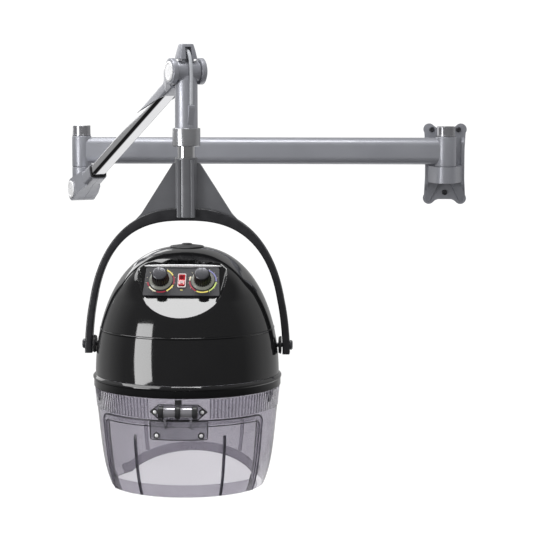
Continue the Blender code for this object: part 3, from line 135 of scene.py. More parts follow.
def bridge(bm, rings, closed_along=False, closed_round=True):
    """Faces between rings of vertices; a ring of one vertex makes a fan, and open ends are capped."""
    pairs = list(zip(rings, rings[1:]))
    if closed_along:
        pairs.append((rings[-1], rings[0]))
    for a, b in pairs:
        count = max(len(a), len(b))
        for k in range(count if closed_round else count - 1):
            n = (k + 1) % count
            corners = [a[k % len(a)], a[n % len(a)], b[n % len(b)], b[k % len(b)]]
            face = [v for j, v in enumerate(corners) if v not in corners[:j]]
            if len(face) > 2:
                bm.faces.new(face)
    if not closed_along and closed_round:
        for ring in (rings[0], rings[-1]):
            if len(ring) > 2:
                bm.faces.new(ring)
    return bm


def lathe(profile, segments=96, ring=False):
    """A solid turned about Z from (radius, height) points; ring=True closes the profile on itself."""
    bm = bmesh.new()
    rings = []
    for radius, z in profile:
        if radius < 1e-7:
            rings.append([bm.verts.new((0, 0, z))])
            continue
        angles = [2 * math.pi * k / segments for k in range(segments)]
        rings.append([bm.verts.new((radius * math.cos(a), radius * math.sin(a), z)) for a in angles])
    return bridge(bm, rings, closed_along=ring)


def rod(radius, start, end, edge=0.0006, segments=96):
    """A round rod along Z with rounded edges."""
    profile = fillet([(0, start), (radius, start), (radius, end), (0, end)], edge, 4, closed=False)
    return lathe(profile, segments)


def loft(sections):
    """A solid through rings of points with equal counts, with its ends capped."""
    bm = bmesh.new()
    return bridge(bm, [[bm.verts.new(p) for p in section] for section in sections])


def prism(outline, low, high, axis="Z"):
    """An outline extruded along an axis; the outline is in the two other axes, in order."""
    place = {"X": lambda a, b, c: (c, a, b), "Y": lambda a, b, c: (a, c, b), "Z": lambda a, b, c: (a, b, c)}
    return loft([[place[axis](a, b, c) for a, b in outline] for c in (low, high)])


def block(low, high):
    outline = [(low[0], low[1]), (high[0], low[1]), (high[0], high[1]), (low[0], high[1])]
    return prism(outline, low[2], high[2])


def rounded_section(width, height, corner, steps=10):
    """Points of a rounded rectangle about the origin."""
    w, h = width / 2, height / 2
    return fillet([(w, h), (-w, h), (-w, -h), (w, -h)], corner, steps)


def along_x(sections):
    """A solid lofted along X through (x, [(y, z), ...]) sections."""
    return loft([[(x, y, z) for y, z in section] for x, section in sections])


def moved(bm, place):
    bm.transform(place if isinstance(place, Matrix) else Matrix.Translation(place))
    return bm


def carve(bm, *tools, operation="DIFFERENCE"):
    """bm with closed solids cut from it, or joined to it."""
    helpers = []
    for solid in (bm, *tools):
        bmesh.ops.recalc_face_normals(solid, faces=solid.faces)
        mesh = bpy.data.meshes.new("helper")
        solid.to_mesh(mesh)
        solid.free()
        helper = bpy.data.objects.new("helper", mesh)
        bpy.context.scene.collection.objects.link(helper)
        helpers.append(helper)
    base, *rest = helpers
    for helper in rest:
        modifier = base.modifiers.new("Carve", "BOOLEAN")
        modifier.operation = operation
        modifier.object = helper
    result = bmesh.new()
    result.from_object(base, bpy.context.evaluated_depsgraph_get())
    for helper in helpers:
        mesh = helper.data
        bpy.data.objects.remove(helper)
        bpy.data.meshes.remove(mesh)
    return result


def join(bm, *solids):
    return carve(bm, *solids, operation="UNION")


def piece(name, bm, place, body, nodes, look, edge=0.0, sharp=38):
    """A finished mesh piece in the row frame, riding on a body and standing for its CAD nodes."""
    bmesh.ops.recalc_face_normals(bm, faces=bm.faces)
    bm.transform(place)
    mesh = bpy.data.meshes.new(name)
    bm.to_mesh(mesh)
    bm.free()
    mesh.materials.append(look)
    mesh.shade_smooth()
    mesh.set_sharp_from_angle(angle=math.radians(sharp))
    obj = bpy.data.objects.new(name, mesh)
    bpy.context.scene.collection.objects.link(obj)
    if edge:
        modifier = obj.modifiers.new("Edges", "BEVEL")
        modifier.width = edge
        modifier.segments = 3
        modifier.limit_method = "ANGLE"
        modifier.angle_limit = math.radians(30)
        modifier.harden_normals = True
    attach(obj, body)
    if nodes:
        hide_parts(*nodes)
    return obj


# ---------------------------------------------------------------- materials


class Shader:
    """A material on one Principled BSDF, with short ways to add nodes in object space."""

    def __init__(self, name, **sockets):
        self.material = bpy.data.materials.new(name)
        self.material.use_nodes = True
        self.tree = self.material.node_tree
        self.bsdf = self.tree.nodes["Principled BSDF"]
        self.space = self.tree.nodes.new("ShaderNodeTexCoord").outputs["Object"]
        for socket, value in sockets.items():
            self.bsdf.inputs[socket.replace("_", " ")].default_value = value

    def node(self, kind, settings=None, **inputs):
        node = self.tree.nodes.new(kind)
        for name, value in (settings or {}).items():
            setattr(node, name, value)
        for name, value in inputs.items():
            socket = node.inputs[name.replace("_", " ")]
            if isinstance(value, bpy.types.NodeSocket):
                self.tree.links.new(value, socket)
            else:
                socket.default_value = value
        return node

    def noise(self, scale, stretch=(1, 1, 1), detail=3.0):
        """Noise with a feature size of about 1/scale metres, drawn out where stretch is under 1."""
        mapping = self.node("ShaderNodeMapping", Vector=self.space, Scale=stretch)
        return self.node("ShaderNodeTexNoise", Vector=mapping.outputs["Vector"], Scale=scale,
                         Detail=detail).outputs["Fac"]

    def spread(self, value, low, high):
        """Maps the middle of a noise's range onto low to high."""
        settings = {"clamp": True}
        node = self.node("ShaderNodeMapRange", settings, Value=value, From_Min=0.3, From_Max=0.7, To_Min=low,
                         To_Max=high)
        return node.outputs["Result"]

    def mix(self, factor, a, b):
        node = self.tree.nodes.new("ShaderNodeMix")
        node.data_type = "RGBA"
        for socket, value in zip((node.inputs[0], node.inputs[6], node.inputs[7]), (factor, a, b)):
            if isinstance(value, bpy.types.NodeSocket):
                self.tree.links.new(value, socket)
            else:
                socket.default_value = value
        return node.outputs[2]

    def math(self, operation, *values):
        node = self.tree.nodes.new("ShaderNodeMath")
        node.operation = operation
        for socket, value in zip(node.inputs, values):
            if isinstance(value, bpy.types.NodeSocket):
                self.tree.links.new(value, socket)
            else:
                socket.default_value = value
        return node.outputs[0]

    def feed(self, socket, output):
        self.tree.links.new(output, self.bsdf.inputs[socket])

    def bump(self, height, depth):
        node = self.node("ShaderNodeBump", Height=height, Distance=depth, Strength=1.0)
        self.feed("Normal", node.outputs["Normal"])


def tone(colour, factor):
    return (*(min(1.0, c * factor) for c in colour), 1.0)


def finish(name, colour, roughness, mottle=0.06, mottle_scale=14, drift=0.05, drift_scale=30,
           grain_scale=900, grain_depth=0.00001, stretch=(1, 1, 1), **sockets):
    """A surface whose colour, gloss and relief all vary a little, at their own scales."""
    shader = Shader(name, **sockets)
    shade = shader.spread(shader.noise(mottle_scale), 0.0, 1.0)
    shader.feed("Base Color", shader.mix(shade, tone(colour, 1 - mottle), tone(colour, 1 + mottle)))
    gloss = shader.noise(drift_scale, stretch)
    shader.feed("Roughness", shader.spread(gloss, max(0.01, roughness - drift), roughness + drift))
    shader.bump(shader.noise(grain_scale, stretch), grain_depth)
    return shader.material


def metallic_paint():
    """Silver-grey stove enamel: fine bright flakes in a grey coat, under a thin clear layer."""
    shader = Shader("metallic_grey", Metallic=0.55, Coat_Weight=0.35, Coat_Roughness=0.18)
    cells = shader.node("ShaderNodeTexVoronoi", Vector=shader.space, Scale=2600.0)
    flake = shader.node("ShaderNodeMapRange", {"clamp": True}, Value=cells.outputs["Distance"],
                        From_Min=0.05, From_Max=0.55, To_Min=1.0, To_Max=0.0)
    drift = shader.spread(shader.noise(9.0), 0.0, 1.0)
    coat = shader.mix(drift, (0.290, 0.297, 0.330, 1), (0.330, 0.337, 0.372, 1))
    shader.feed("Base Color", shader.mix(flake.outputs["Result"], coat, (0.45, 0.455, 0.49, 1)))
    shader.feed("Roughness", shader.spread(shader.noise(40.0), 0.34, 0.44))
    shader.bump(shader.noise(420.0), 0.000015)
    return shader.material


def panel_paint():
    """Dark satin film with a fine speckle."""
    shader = Shader("panel_film", Coat_Weight=0.25, Coat_Roughness=0.25)
    dots = shader.node("ShaderNodeTexVoronoi", Vector=shader.space, Scale=900.0)
    speck = shader.node("ShaderNodeMapRange", {"clamp": True}, Value=dots.outputs["Distance"],
                        From_Min=0.10, From_Max=0.30, To_Min=1.0, To_Max=0.0)
    shader.feed("Base Color", shader.mix(speck.outputs["Result"], (0.028, 0.028, 0.032, 1),
                                         (0.075, 0.072, 0.078, 1)))
    shader.feed("Roughness", shader.spread(shader.noise(60.0), 0.38, 0.50))
    shader.bump(shader.noise(1400.0), 0.00002)
    return shader.material


def smoked_plastic(name, tint):
    """Smoked clear polycarbonate with faint moulding flow in its gloss."""
    shader = Shader(name, IOR=1.45, Transmission_Weight=1.0)
    drift = shader.spread(shader.noise(7.0), 0.0, 1.0)
    shader.feed("Base Color", shader.mix(drift, tone(tint, 0.96), tone(tint, 1.04)))
    shader.feed("Roughness", shader.spread(shader.noise(18.0), 0.015, 0.05))
    shader.bump(shader.noise(30.0), 0.00002)
    return shader.material


FLUTES, FLUTE_DEPTH = 150, 0.0008


def fluted_plastic():
    """The same smoked plastic where it is moulded in upright flutes, with painted shade: its tint turns
    darker in each flute's groove.
    """
    shader = Shader("smoked_flutes_painted_shade", IOR=1.45, Transmission_Weight=1.0)
    about_axis = shader.node("ShaderNodeMapping", Vector=shader.space, Location=-HOOD.translation)
    split = shader.node("ShaderNodeSeparateXYZ", Vector=about_axis.outputs["Vector"])
    turn = shader.math("ARCTAN2", split.outputs["X"], split.outputs["Y"])
    wave = shader.math("COSINE", shader.math("MULTIPLY", turn, FLUTES))
    # painted shade: the tint turns darker towards the groove of each flute
    valley_shade = shader.node("ShaderNodeMapRange", {"clamp": True}, Value=wave, From_Min=0.2, From_Max=0.95,
                         To_Min=0.0, To_Max=1.0)
    shader.feed("Base Color", shader.mix(valley_shade.outputs["Result"], (0.74, 0.73, 0.76, 1),
                                         (0.36, 0.35, 0.39, 1)))
    shader.feed("Roughness", shader.spread(shader.noise(18.0), 0.03, 0.08))
    shader.bump(shader.noise(30.0), 0.00002)
    return shader.material


FLUTE_SHADE_LOOK = fluted_plastic()
GREY = metallic_paint()
FILM = panel_paint()
CLEAR = smoked_plastic("smoked_clear", (0.575, 0.56, 0.60))
PALE = smoked_plastic("smoked_pale", (0.86, 0.85, 0.88))
GLOSS = finish("hood_gloss", (0.006, 0.006, 0.0065), 0.07, mottle=0.12, drift=0.02, grain_scale=160,
               grain_depth=0.000004, Coat_Weight=0.6, Coat_Roughness=0.03)
DARK = finish("dark_paint", (0.055, 0.056, 0.062), 0.30, grain_scale=500, grain_depth=0.00001, Metallic=0.3,
              Coat_Weight=0.4, Coat_Roughness=0.12)
YOKE_PAINT = finish("yoke_paint", (0.020, 0.020, 0.023), 0.38, mottle=0.15, mottle_scale=60, grain_scale=700,
                    grain_depth=0.00006, Metallic=0.2, Coat_Weight=0.3, Coat_Roughness=0.25)
WEB_PAINT = finish("web_paint", (0.125, 0.127, 0.137), 0.34, mottle=0.08, grain_scale=600,
                   grain_depth=0.00002, Metallic=0.35, Coat_Weight=0.25, Coat_Roughness=0.2)
TUBE_CHROME = finish("tube_chrome", (0.70, 0.70, 0.715), 0.10, mottle=0.03, drift=0.04, drift_scale=120,
                     grain_scale=1100, grain_depth=0.000004, stretch=(0.1, 1, 1), Metallic=1.0)
CHROME = finish("chrome", (0.86, 0.86, 0.88), 0.07, mottle=0.02, drift=0.03, drift_scale=160,
                grain_scale=1200, grain_depth=0.000002, stretch=(0.1, 1, 1), Metallic=1.0)
# the finish of the cover discs and screw heads, also used to paint the highlight bead along the panel recess
DISC_AND_LIP_HIGHLIGHT = finish("polished_disc", (0.86, 0.86, 0.87), 0.30, mottle=0.05, mottle_scale=300, drift=0.08,
              drift_scale=400, grain_scale=900, grain_depth=0.00004, Metallic=0.35)
BARREL = finish("hinge_barrel", (0.40, 0.39, 0.42), 0.16, mottle=0.05, grain_scale=800, grain_depth=0.00001,
                Metallic=0.7, Coat_Weight=0.5)
STEEL = finish("steel", (0.52, 0.52, 0.53), 0.32, mottle=0.08, drift=0.08, drift_scale=220, grain_scale=1600,
               grain_depth=0.00001, Metallic=1.0)
SCREW = finish("screw_steel", (0.10, 0.10, 0.11), 0.30, mottle=0.10, grain_scale=1200, grain_depth=0.00001,
               Metallic=0.8)
BRASS = finish("brass", (0.62, 0.45, 0.19), 0.36, mottle=0.10, grain_scale=900, grain_depth=0.00001,
               Metallic=1.0)
ALUMINIUM = finish("aluminium", (0.66, 0.67, 0.69), 0.36, mottle=0.06, drift=0.10, drift_scale=90,
                   grain_scale=900, grain_depth=0.00001, Metallic=1.0)
BLACK = finish("black_plastic", (0.018, 0.018, 0.019), 0.38, mottle=0.15, grain_scale=900,
               grain_depth=0.00003, Coat_Weight=0.15, Coat_Roughness=0.3)
JET = finish("jet_plastic", (0.006, 0.006, 0.0065), 0.34, mottle=0.15, grain_scale=900, grain_depth=0.00002)
KNOB_TOP = finish("knob_cap", (0.085, 0.085, 0.095), 0.30, mottle=0.10, grain_scale=900, grain_depth=0.00001,
                  Metallic=0.6, Coat_Weight=0.4)
KNOB_RING = finish("knob_ring", (0.17, 0.172, 0.150), 0.35, mottle=0.10, grain_scale=900, grain_depth=0.00001,
                   Coat_Weight=0.3)
WHITE = finish("white_plastic", (0.80, 0.70, 0.69), 0.32, mottle=0.03, grain_scale=700, grain_depth=0.00001)
RED = finish("red_plastic", (0.50, 0.012, 0.02), 0.20, mottle=0.08, grain_scale=500, grain_depth=0.00001,
             Coat_Weight=0.5, Subsurface_Weight=0.1)
GARNET = finish("dark_red_lens", (0.12, 0.004, 0.008), 0.18, mottle=0.10, grain_scale=500,
                grain_depth=0.00001, Coat_Weight=0.5)
RUBBER = finish("rubber", (0.016, 0.016, 0.017), 0.60, mottle=0.20, mottle_scale=90, grain_scale=1100,
                grain_depth=0.00004)
LEAD = finish("lead_sheath", (0.32, 0.33, 0.35), 0.42, mottle=0.05, mottle_scale=60, grain_scale=1500,
              grain_depth=0.00002)
CAP_PAINT = finish("cap_paint", (0.34, 0.34, 0.36), 0.22, mottle=0.05, grain_scale=500, grain_depth=0.000008,
                   Metallic=0.75, Coat_Weight=0.4, Coat_Roughness=0.1)
COLLAR_PAINT = finish("collar_paint", (0.46, 0.465, 0.485), 0.24, mottle=0.04, grain_scale=600,
                      grain_depth=0.00001, Metallic=0.8, Coat_Weight=0.4, Coat_Roughness=0.12)
FIN = finish("smoked_edge", (0.10, 0.095, 0.115), 0.12, mottle=0.08, grain_scale=300, grain_depth=0.00001,
             Transmission_Weight=0.7, IOR=1.45)
LEAF = finish("smoked_leaf", (0.44, 0.43, 0.47), 0.12, mottle=0.10, grain_scale=300, grain_depth=0.00001,
              Transmission_Weight=0.8, IOR=1.45)
YELLOW = finish("ink_yellow", (0.78, 0.66, 0.16), 0.45, mottle=0.10, grain_scale=1500, grain_depth=0.00001)
CRIMSON = finish("ink_red", (0.33, 0.022, 0.045), 0.45, mottle=0.10, grain_scale=1500, grain_depth=0.00001)
VIOLET = finish("ink_violet", (0.22, 0.22, 0.46), 0.45, mottle=0.10, grain_scale=1500, grain_depth=0.00001)
LIME = finish("ink_green", (0.50, 0.62, 0.15), 0.45, mottle=0.10, grain_scale=1500, grain_depth=0.00001)
CREAM = finish("ink_cream", (0.72, 0.66, 0.50), 0.45, mottle=0.08, grain_scale=1500, grain_depth=0.00001)

# ---------------------------------------------------------------- wall bracket and horizontal arm

PLATE_WIDTH, PLATE_HEIGHT, PLATE_BASE = 0.097, 0.181, 0.010
PLATE_RIM_DEPTH, PLATE_RIM_WIDTH = 0.024, 0.007
WALL_AXIS_Y = joint_point("arm_swing").y
BOSS_TOP, BOSS_BOTTOM, BOSS_WIDTH, BOSS_RADIUS = -0.0035, -0.040, 0.077, 0.0245
SCREW_PLACES = ((-0.0297, 0.0772), (0.0297, 0.0772), (0.0, -0.064))
SPINDLE_RADIUS, BUSH_WALL = 0.011, 0.0027
ARM_LENGTH, ARM_Z = -joint_point("elbow_swivel").x, 0.031
ARM_HEIGHT, ARM_DEPTH = 0.0595, 0.037
WALL_SLEEVE = (0.023, -0.003, 0.0625)  # radius, bottom and top
ELBOW_SLEEVE = (0.0215, -0.0055, 0.0635)
CAP_HEIGHT = 0.0235


def plate_outline():
    """The bracket's face: a tall plate with a flared lobe at each corner."""
    half_w, half_h, lobe = PLATE_WIDTH / 2, PLATE_HEIGHT / 2, 0.013
    points = []
    for side_x, side_z, start in ((1, 1, -35), (-1, 1, 55), (-1, -1, 145), (1, -1, 235)):
        for i in range(17):
            angle = math.radians(start + 160 * i / 16)
            points.append((side_x * (half_w - lobe) + lobe * math.cos(angle),
                           side_z * (half_h - lobe) + lobe * math.sin(angle), 0))
        if side_x == side_z:
            points += [(side_x * 0.018, side_z * (half_h - 0.011), 0.02),
                       (-side_x * 0.018, side_z * (half_h - 0.011), 0.02)]
        else:
            points += [(side_x * (half_w - 0.0045), side_z * 0.030, 0.05),
                       (side_x * (half_w - 0.0045), -side_z * 0.030, 0.05)]
    return fillet(points, 0, 6)


def gusset(side):
    """A three-sided facet that runs from the boss down to a lower corner of the plate."""
    base, face = -PLATE_BASE + 0.002, -PLATE_BASE - 0.013
    return loft([[(side * 0.010, base, BOSS_BOTTOM + 0.002), (side * 0.040, base, BOSS_BOTTOM + 0.002),
                  (side * 0.040, face, BOSS_BOTTOM + 0.001), (side * 0.012, face, BOSS_BOTTOM + 0.001)],
                 [(side * 0.033, base, -0.086), (side * 0.041, base, -0.084),
                  (side * 0.041, base - 0.003, -0.084), (side * 0.034, base - 0.003, -0.086)]])


def make_bracket():
    plate = prism(plate_outline(), -PLATE_BASE, 0.0, "Y")
    parts = [gusset(-1), gusset(1)]
    for side in (-1, 1):
        outer = side * (PLATE_WIDTH / 2 - 0.005)
        inner = outer - side * PLATE_RIM_WIDTH
        profile = fillet([(-PLATE_BASE + 0.004, -0.066), (-PLATE_RIM_DEPTH, -0.048),
                          (-PLATE_RIM_DEPTH, 0.050), (-PLATE_BASE + 0.004, 0.067)], 0.012, 6)
        parts.append(prism(profile, min(inner, outer), max(inner, outer), "X"))
    half = BOSS_WIDTH / 2
    nose = [(BOSS_RADIUS * math.cos(a), WALL_AXIS_Y + BOSS_RADIUS * math.sin(a))
            for a in (math.radians(200 + 140 * i / 24) for i in range(25))]
    boss = prism([(-half, -0.004), (-half, -0.030), *nose, (half, -0.030), (half, -0.004)], BOSS_BOTTOM,
                 BOSS_TOP)
    solid = join(plate, *parts, boss)
    bore = moved(rod(SPINDLE_RADIUS + GAP, BOSS_BOTTOM + 0.006, 0.01, 0), (0, WALL_AXIS_Y, 0))
    holes = [moved(moved(rod(0.0033, -0.03, 0.01, 0, 24), TO_Y), (x, 0, z)) for x, z in SCREW_PLACES]
    solid = carve(solid, bore, *holes)
    piece("bracket_casting", solid, WALL, "wall_bracket", ["wall_bracket"], GREY, 0.0011)
    for number, (x, z) in enumerate(SCREW_PLACES, 1):
        place = Matrix.Translation((x, -PLATE_BASE - GAP, z)) @ TO_Y @ Matrix.Rotation(math.pi, 4, "X")
        make_socket_screw(f"wall_bolt_{number}", place, "wall_bracket", [f"wall_screw_{number}"], 0.0062,
                          0.0027)


def make_socket_screw(name, place, body, nodes, radius, shank):
    """A button-head screw with a hexagon socket and a washer face; +Z is outwards."""
    profile = fillet([(0, -0.009), (shank, -0.009), (shank, 0), (radius, 0, 0.0002), (radius, 0.0012, 0.0004),
                      (radius * 0.82, 0.0040, 0.0012), (0, 0.0046)], 0.0002, 5, closed=False)
    socket = [(radius * 0.42 * math.cos(a), radius * 0.42 * math.sin(a))
              for a in (math.pi * i / 3 for i in range(6))]
    head = carve(lathe(profile, 48), prism(socket, 0.0016, 0.01))
    return piece(name, head, place, body, nodes, SCREW, 0.0002)


def make_cap(name, centre, radius, top, body, node):
    """The cap on a spindle's end, with a shallow raised crown."""
    over = top + CAP_HEIGHT
    bore = SPINDLE_RADIUS + GAP
    profile = [(0, top + 0.0085), (bore, top + 0.0085), (bore, top + GAP), (radius, top + GAP, 0.0008),
               (radius, top + 0.0030, 0.0003), (radius - 0.0006, top + 0.0034, 0.0003),
               (radius - 0.0006, over - 0.0002, 0.0018), (0, over + 0.0004)]
    piece(name, lathe(fillet(profile, 0, 5, closed=False), 96), Matrix.Translation(centre), body, [node],
          CAP_PAINT)


def make_arm():
    oval = rounded_section(ARM_DEPTH, ARM_HEIGHT, ARM_DEPTH / 2 - 0.0005, 20)
    tube = moved(along_x([(-ARM_LENGTH + 0.012, oval), (-0.012, oval)]), (0, 0, ARM_Z))
    sleeves = []
    bores = []
    for x, (radius, low, high) in ((0.0, WALL_SLEEVE), (-ARM_LENGTH, ELBOW_SLEEVE)):
        sleeves.append(moved(rod(radius, low, high, 0.0014, 128), (x, 0, 0)))
        bores.append(moved(rod(SPINDLE_RADIUS + 2 * GAP + BUSH_WALL, low - 0.01, high + 0.01, 0, 64),
                           (x, 0, 0)))
    solid = carve(join(tube, *sleeves), *bores)
    piece("arm_tube", solid, ARM, "horizontal_arm", ["horizontal_arm"], GREY, 0.0010)
    make_cap("wall_cap", ARM.translation, 0.0205, WALL_SLEEVE[2], "wall_bracket", "wall_spindle_cap")
    make_cap("elbow_cap", ELBOW.translation, 0.0205, ELBOW_SLEEVE[2], "elbow", "elbow_spindle_cap")


# ---------------------------------------------------------------- elbow and lift arm

LIFT_Z = joint_point("arm_lift").z
LIFT_LENGTH = REACH.length
ELBOW_DRUM_RADIUS, ELBOW_DRUM_HALF = 0.020, 0.016
ELBOW_CHEEK_RADIUS, ELBOW_CHEEK_WALL = 0.025, 0.0085
SOCKET_START, SOCKET_END, SOCKET_WIDTH, SOCKET_HEIGHT = 0.050, 0.118, 0.038, 0.034
LIFT_TUBE_START, LIFT_TUBE_END = 0.088, LIFT_LENGTH - 0.056
LIFT_TUBE_WIDTH, LIFT_TUBE_HEIGHT = 0.031, 0.023
HEAD_BLOCK_START, HEAD_BLOCK_END = LIFT_LENGTH - 0.078, LIFT_LENGTH - 0.050
TONGUE_START = LIFT_LENGTH - 0.255
KNUCKLE_DRUM_RADIUS, KNUCKLE_DRUM_HALF = 0.020, 0.024
KNUCKLE_CHEEK_RADIUS, KNUCKLE_CHEEK_WALL = 0.0255, 0.010
ELBOW_PIN_RADIUS, KNUCKLE_PIN_RADIUS = 0.0045, 0.0048


def make_elbow():
    neck_top = ELBOW_SLEEVE[1] - GAP
    neck_bottom = LIFT_Z + ELBOW_CHEEK_RADIUS + 0.0015
    neck = rod(ELBOW_SLEEVE[0], neck_bottom, neck_top, 0.0012, 128)
    tongue = [(ELBOW_DRUM_RADIUS * math.cos(a), LIFT_Z + ELBOW_DRUM_RADIUS * math.sin(a))
              for a in (math.pi + math.pi * i / 32 for i in range(33))]
    tongue += [(ELBOW_DRUM_RADIUS, LIFT_Z + 0.010), (0.013, neck_bottom + 0.003),
               (-0.013, neck_bottom + 0.003), (-ELBOW_DRUM_RADIUS, LIFT_Z + 0.010)]
    drum = prism(tongue, -ELBOW_DRUM_HALF, ELBOW_DRUM_HALF, "Y")
    pin_bore = moved(moved(rod(ELBOW_PIN_RADIUS + GAP, -0.03, 0.03, 0, 32), TO_Y), (0, 0, LIFT_Z))
    spindle_bore = rod(SPINDLE_RADIUS + GAP, -0.022, 0.01, 0, 48)
    slot = block((-0.007, -0.0047, LIFT_Z - 0.03), (0.04, 0.0047, LIFT_Z + 0.0145))
    solid = carve(join(neck, drum), pin_bore, spindle_bore, slot)
    piece("elbow_neck", solid, ELBOW, "elbow", ["elbow_casting"], GREY, 0.0009)


def make_pin_ends(prefix, at_x, half, radius, shank):
    """The polished snap-in disc on the open side, and the pin with its broad head on the other."""
    profile = [(0, GAP), (radius, GAP), (radius, 0.0022, 0.0009), (radius - 0.0035, 0.0036, 0.0012),
               (radius - 0.0055, 0.0026, 0.0012), (0, 0.0032)]
    disc = lathe(fillet(profile, 0.0001, 6, closed=False), 96)
    place = LIFT @ Matrix.Translation((at_x, -half, 0)) @ TO_Y @ Matrix.Rotation(math.pi, 4, "X")
    piece(f"{prefix}_cover_disc", disc, place, "lift_arm", [f"{prefix}_disc"], DISC_AND_LIP_HIGHLIGHT)
    profile = [(0, -half + 0.001), (shank, -half + 0.001), (shank, half + GAP), (radius, half + GAP, 0.0003),
               (radius, half + 0.0022, 0.0009), (radius - 0.0035, half + 0.0034, 0.0012), (0, half + 0.0036)]
    pin = lathe(fillet(profile, 0.0001, 6, closed=False), 96)
    place = LIFT @ Matrix.Translation((at_x, 0, 0)) @ TO_Y
    piece(f"{prefix}_cross_pin", pin, place, "lift_arm", [f"{prefix}_pin"], STEEL)


def neck_room():
    """The space the elbow's neck takes up, as the lift arm sees it, over the upper part of its travel."""
    top = math.radians(max(JOINTS["arm_lift"]["range_deg"]))
    axis = Vector(JOINTS["arm_lift"]["axis"])
    pivot = Matrix.Translation(LIFT.translation)
    rooms = []
    for share in (0.4, 0.7, 1.0):
        neck = rod(ELBOW_SLEEVE[0] + 0.0008, LIFT_Z + ELBOW_CHEEK_RADIUS + 0.0007, 0.02, 0, 96)
        turn = pivot @ Matrix.Rotation(-top * share, 4, axis) @ pivot.inverted()
        rooms.append(moved(neck, LIFT.inverted() @ turn @ ELBOW))
    return rooms


def make_socket():
    inner_y = ELBOW_DRUM_HALF + 0.0005
    outer_y = inner_y + ELBOW_CHEEK_WALL
    outer = rounded_section(SOCKET_WIDTH, SOCKET_HEIGHT, 0.008)
    slim = rounded_section(SOCKET_WIDTH, SOCKET_HEIGHT - 0.010, 0.007)
    seat = rounded_section(LIFT_TUBE_WIDTH + 2 * GAP, LIFT_TUBE_HEIGHT + 2 * GAP, 0.006)
    channel = rounded_section(LIFT_TUBE_WIDTH - 0.007, LIFT_TUBE_HEIGHT - 0.003, 0.004)
    for side, word in ((-1, "left"), (1, "right")):
        shell = along_x([(SOCKET_START, slim), (SOCKET_START + 0.026, outer), (SOCKET_END, outer)])
        cheek = moved(rod(ELBOW_CHEEK_RADIUS, inner_y, outer_y, 0.0014), TO_Y)
        if side < 0:
            cheek = moved(cheek, Matrix.Scale(-1, 4, Vector((0, 1, 0))))
        flank = prism(socket_flank(), min(0.0, side * outer_y), max(0.0, side * outer_y), "Y")
        plan = prism(fillet([(-0.030, side * inner_y), (-0.030, side * outer_y),
                             (0.032, side * outer_y, 0.012),
                             (0.074, side * (SOCKET_WIDTH / 2 - 0.0006), 0.012), (0.080, -side * 0.002),
                             (0.040, -side * 0.002), (0.040, side * inner_y)], 0, 6), -0.04, 0.04)
        flank = carve(flank, plan, operation="INTERSECT")
        solid = join(shell, cheek, flank, socket_chin(side, inner_y))
        cavity = along_x([(LIFT_TUBE_START - GAP, seat), (SOCKET_END + 0.01, seat)])
        passage = along_x([(0.018, channel), (LIFT_TUBE_START + 0.01, channel)])
        pin_bore = moved(rod(ELBOW_PIN_RADIUS + GAP, -0.05, 0.05, 0, 32), TO_Y)
        low_y, high_y = sorted((-side * 0.05, side * 0.00025))
        other_half = block((-0.05, low_y, -0.05), (0.20, high_y, 0.05))
        solid = carve(solid, cavity, passage, pin_bore, other_half, *neck_room())
        piece(f"socket_half_{word}", solid, LIFT, "lift_arm", [f"socket_{word}"], GREY,
              0.0008)
    ring_out = rounded_section(SOCKET_WIDTH - 0.0020, SOCKET_HEIGHT - 0.0050, 0.0078)
    ring = carve(along_x([(SOCKET_END + GAP, ring_out), (SOCKET_END + 0.0042, ring_out)]),
                 along_x([(SOCKET_END - 0.01, seat), (SOCKET_END + 0.02, seat)]))
    piece("socket_seal", ring, LIFT, "lift_arm", ["socket_gasket"], RUBBER, 0.0007)


def socket_flank():
    """The socket seen from the side: the round cheek, drawn out to the height of the tube's mouth."""
    round_end = [(ELBOW_CHEEK_RADIUS * math.cos(a), ELBOW_CHEEK_RADIUS * math.sin(a))
                 for a in (math.radians(74 + 212 * i / 40) for i in range(41))]
    return [*round_end, (0.080, -SOCKET_HEIGHT / 2 + 0.0006), (0.080, SOCKET_HEIGHT / 2 - 0.0006)]


def socket_chin(side, inner_y):
    """Half of the block that closes the socket underneath, between its cheeks and round the drum."""
    under = [(0.0235, -0.012), (0.030, 0.0), (0.064, 0.0), (0.064, -0.0165), (0.034, -0.0215)]
    under += [(ELBOW_CHEEK_RADIUS * math.cos(a), ELBOW_CHEEK_RADIUS * math.sin(a))
              for a in (math.radians(-68 - 62 * i / 16) for i in range(17))]
    under += [(0.0195 * math.cos(a), 0.0195 * math.sin(a))
              for a in (math.radians(-130 + 90 * i / 16) for i in range(17))]
    chin = prism(under, min(0.0, side * (inner_y + 0.001)), max(0.0, side * (inner_y + 0.001)), "Y")
    drum_room = moved(rod(ELBOW_DRUM_RADIUS + 0.0008, -0.03, 0.03, 0, 96), TO_Y)
    return carve(chin, drum_room)


def make_lift_tube():
    """A bright tube, nearly flat-sided, with soft lower corners and tighter upper ones."""
    half_w, half_h = LIFT_TUBE_WIDTH / 2, LIFT_TUBE_HEIGHT / 2
    outer = fillet([(half_w, -half_h, 0.0080), (half_w, half_h, 0.0036), (-half_w, half_h, 0.0036),
                    (-half_w, -half_h, 0.0080)], 0, 12)
    inner = rounded_section(LIFT_TUBE_WIDTH - 0.0055, LIFT_TUBE_HEIGHT - 0.003, 0.007)
    tube = carve(along_x([(LIFT_TUBE_START, outer), (LIFT_TUBE_END, outer)]),
                 along_x([(LIFT_TUBE_START - 0.01, inner), (LIFT_TUBE_END + 0.01, inner)]))
    piece("bright_tube", tube, LIFT, "lift_arm", ["lift_tube"], TUBE_CHROME)


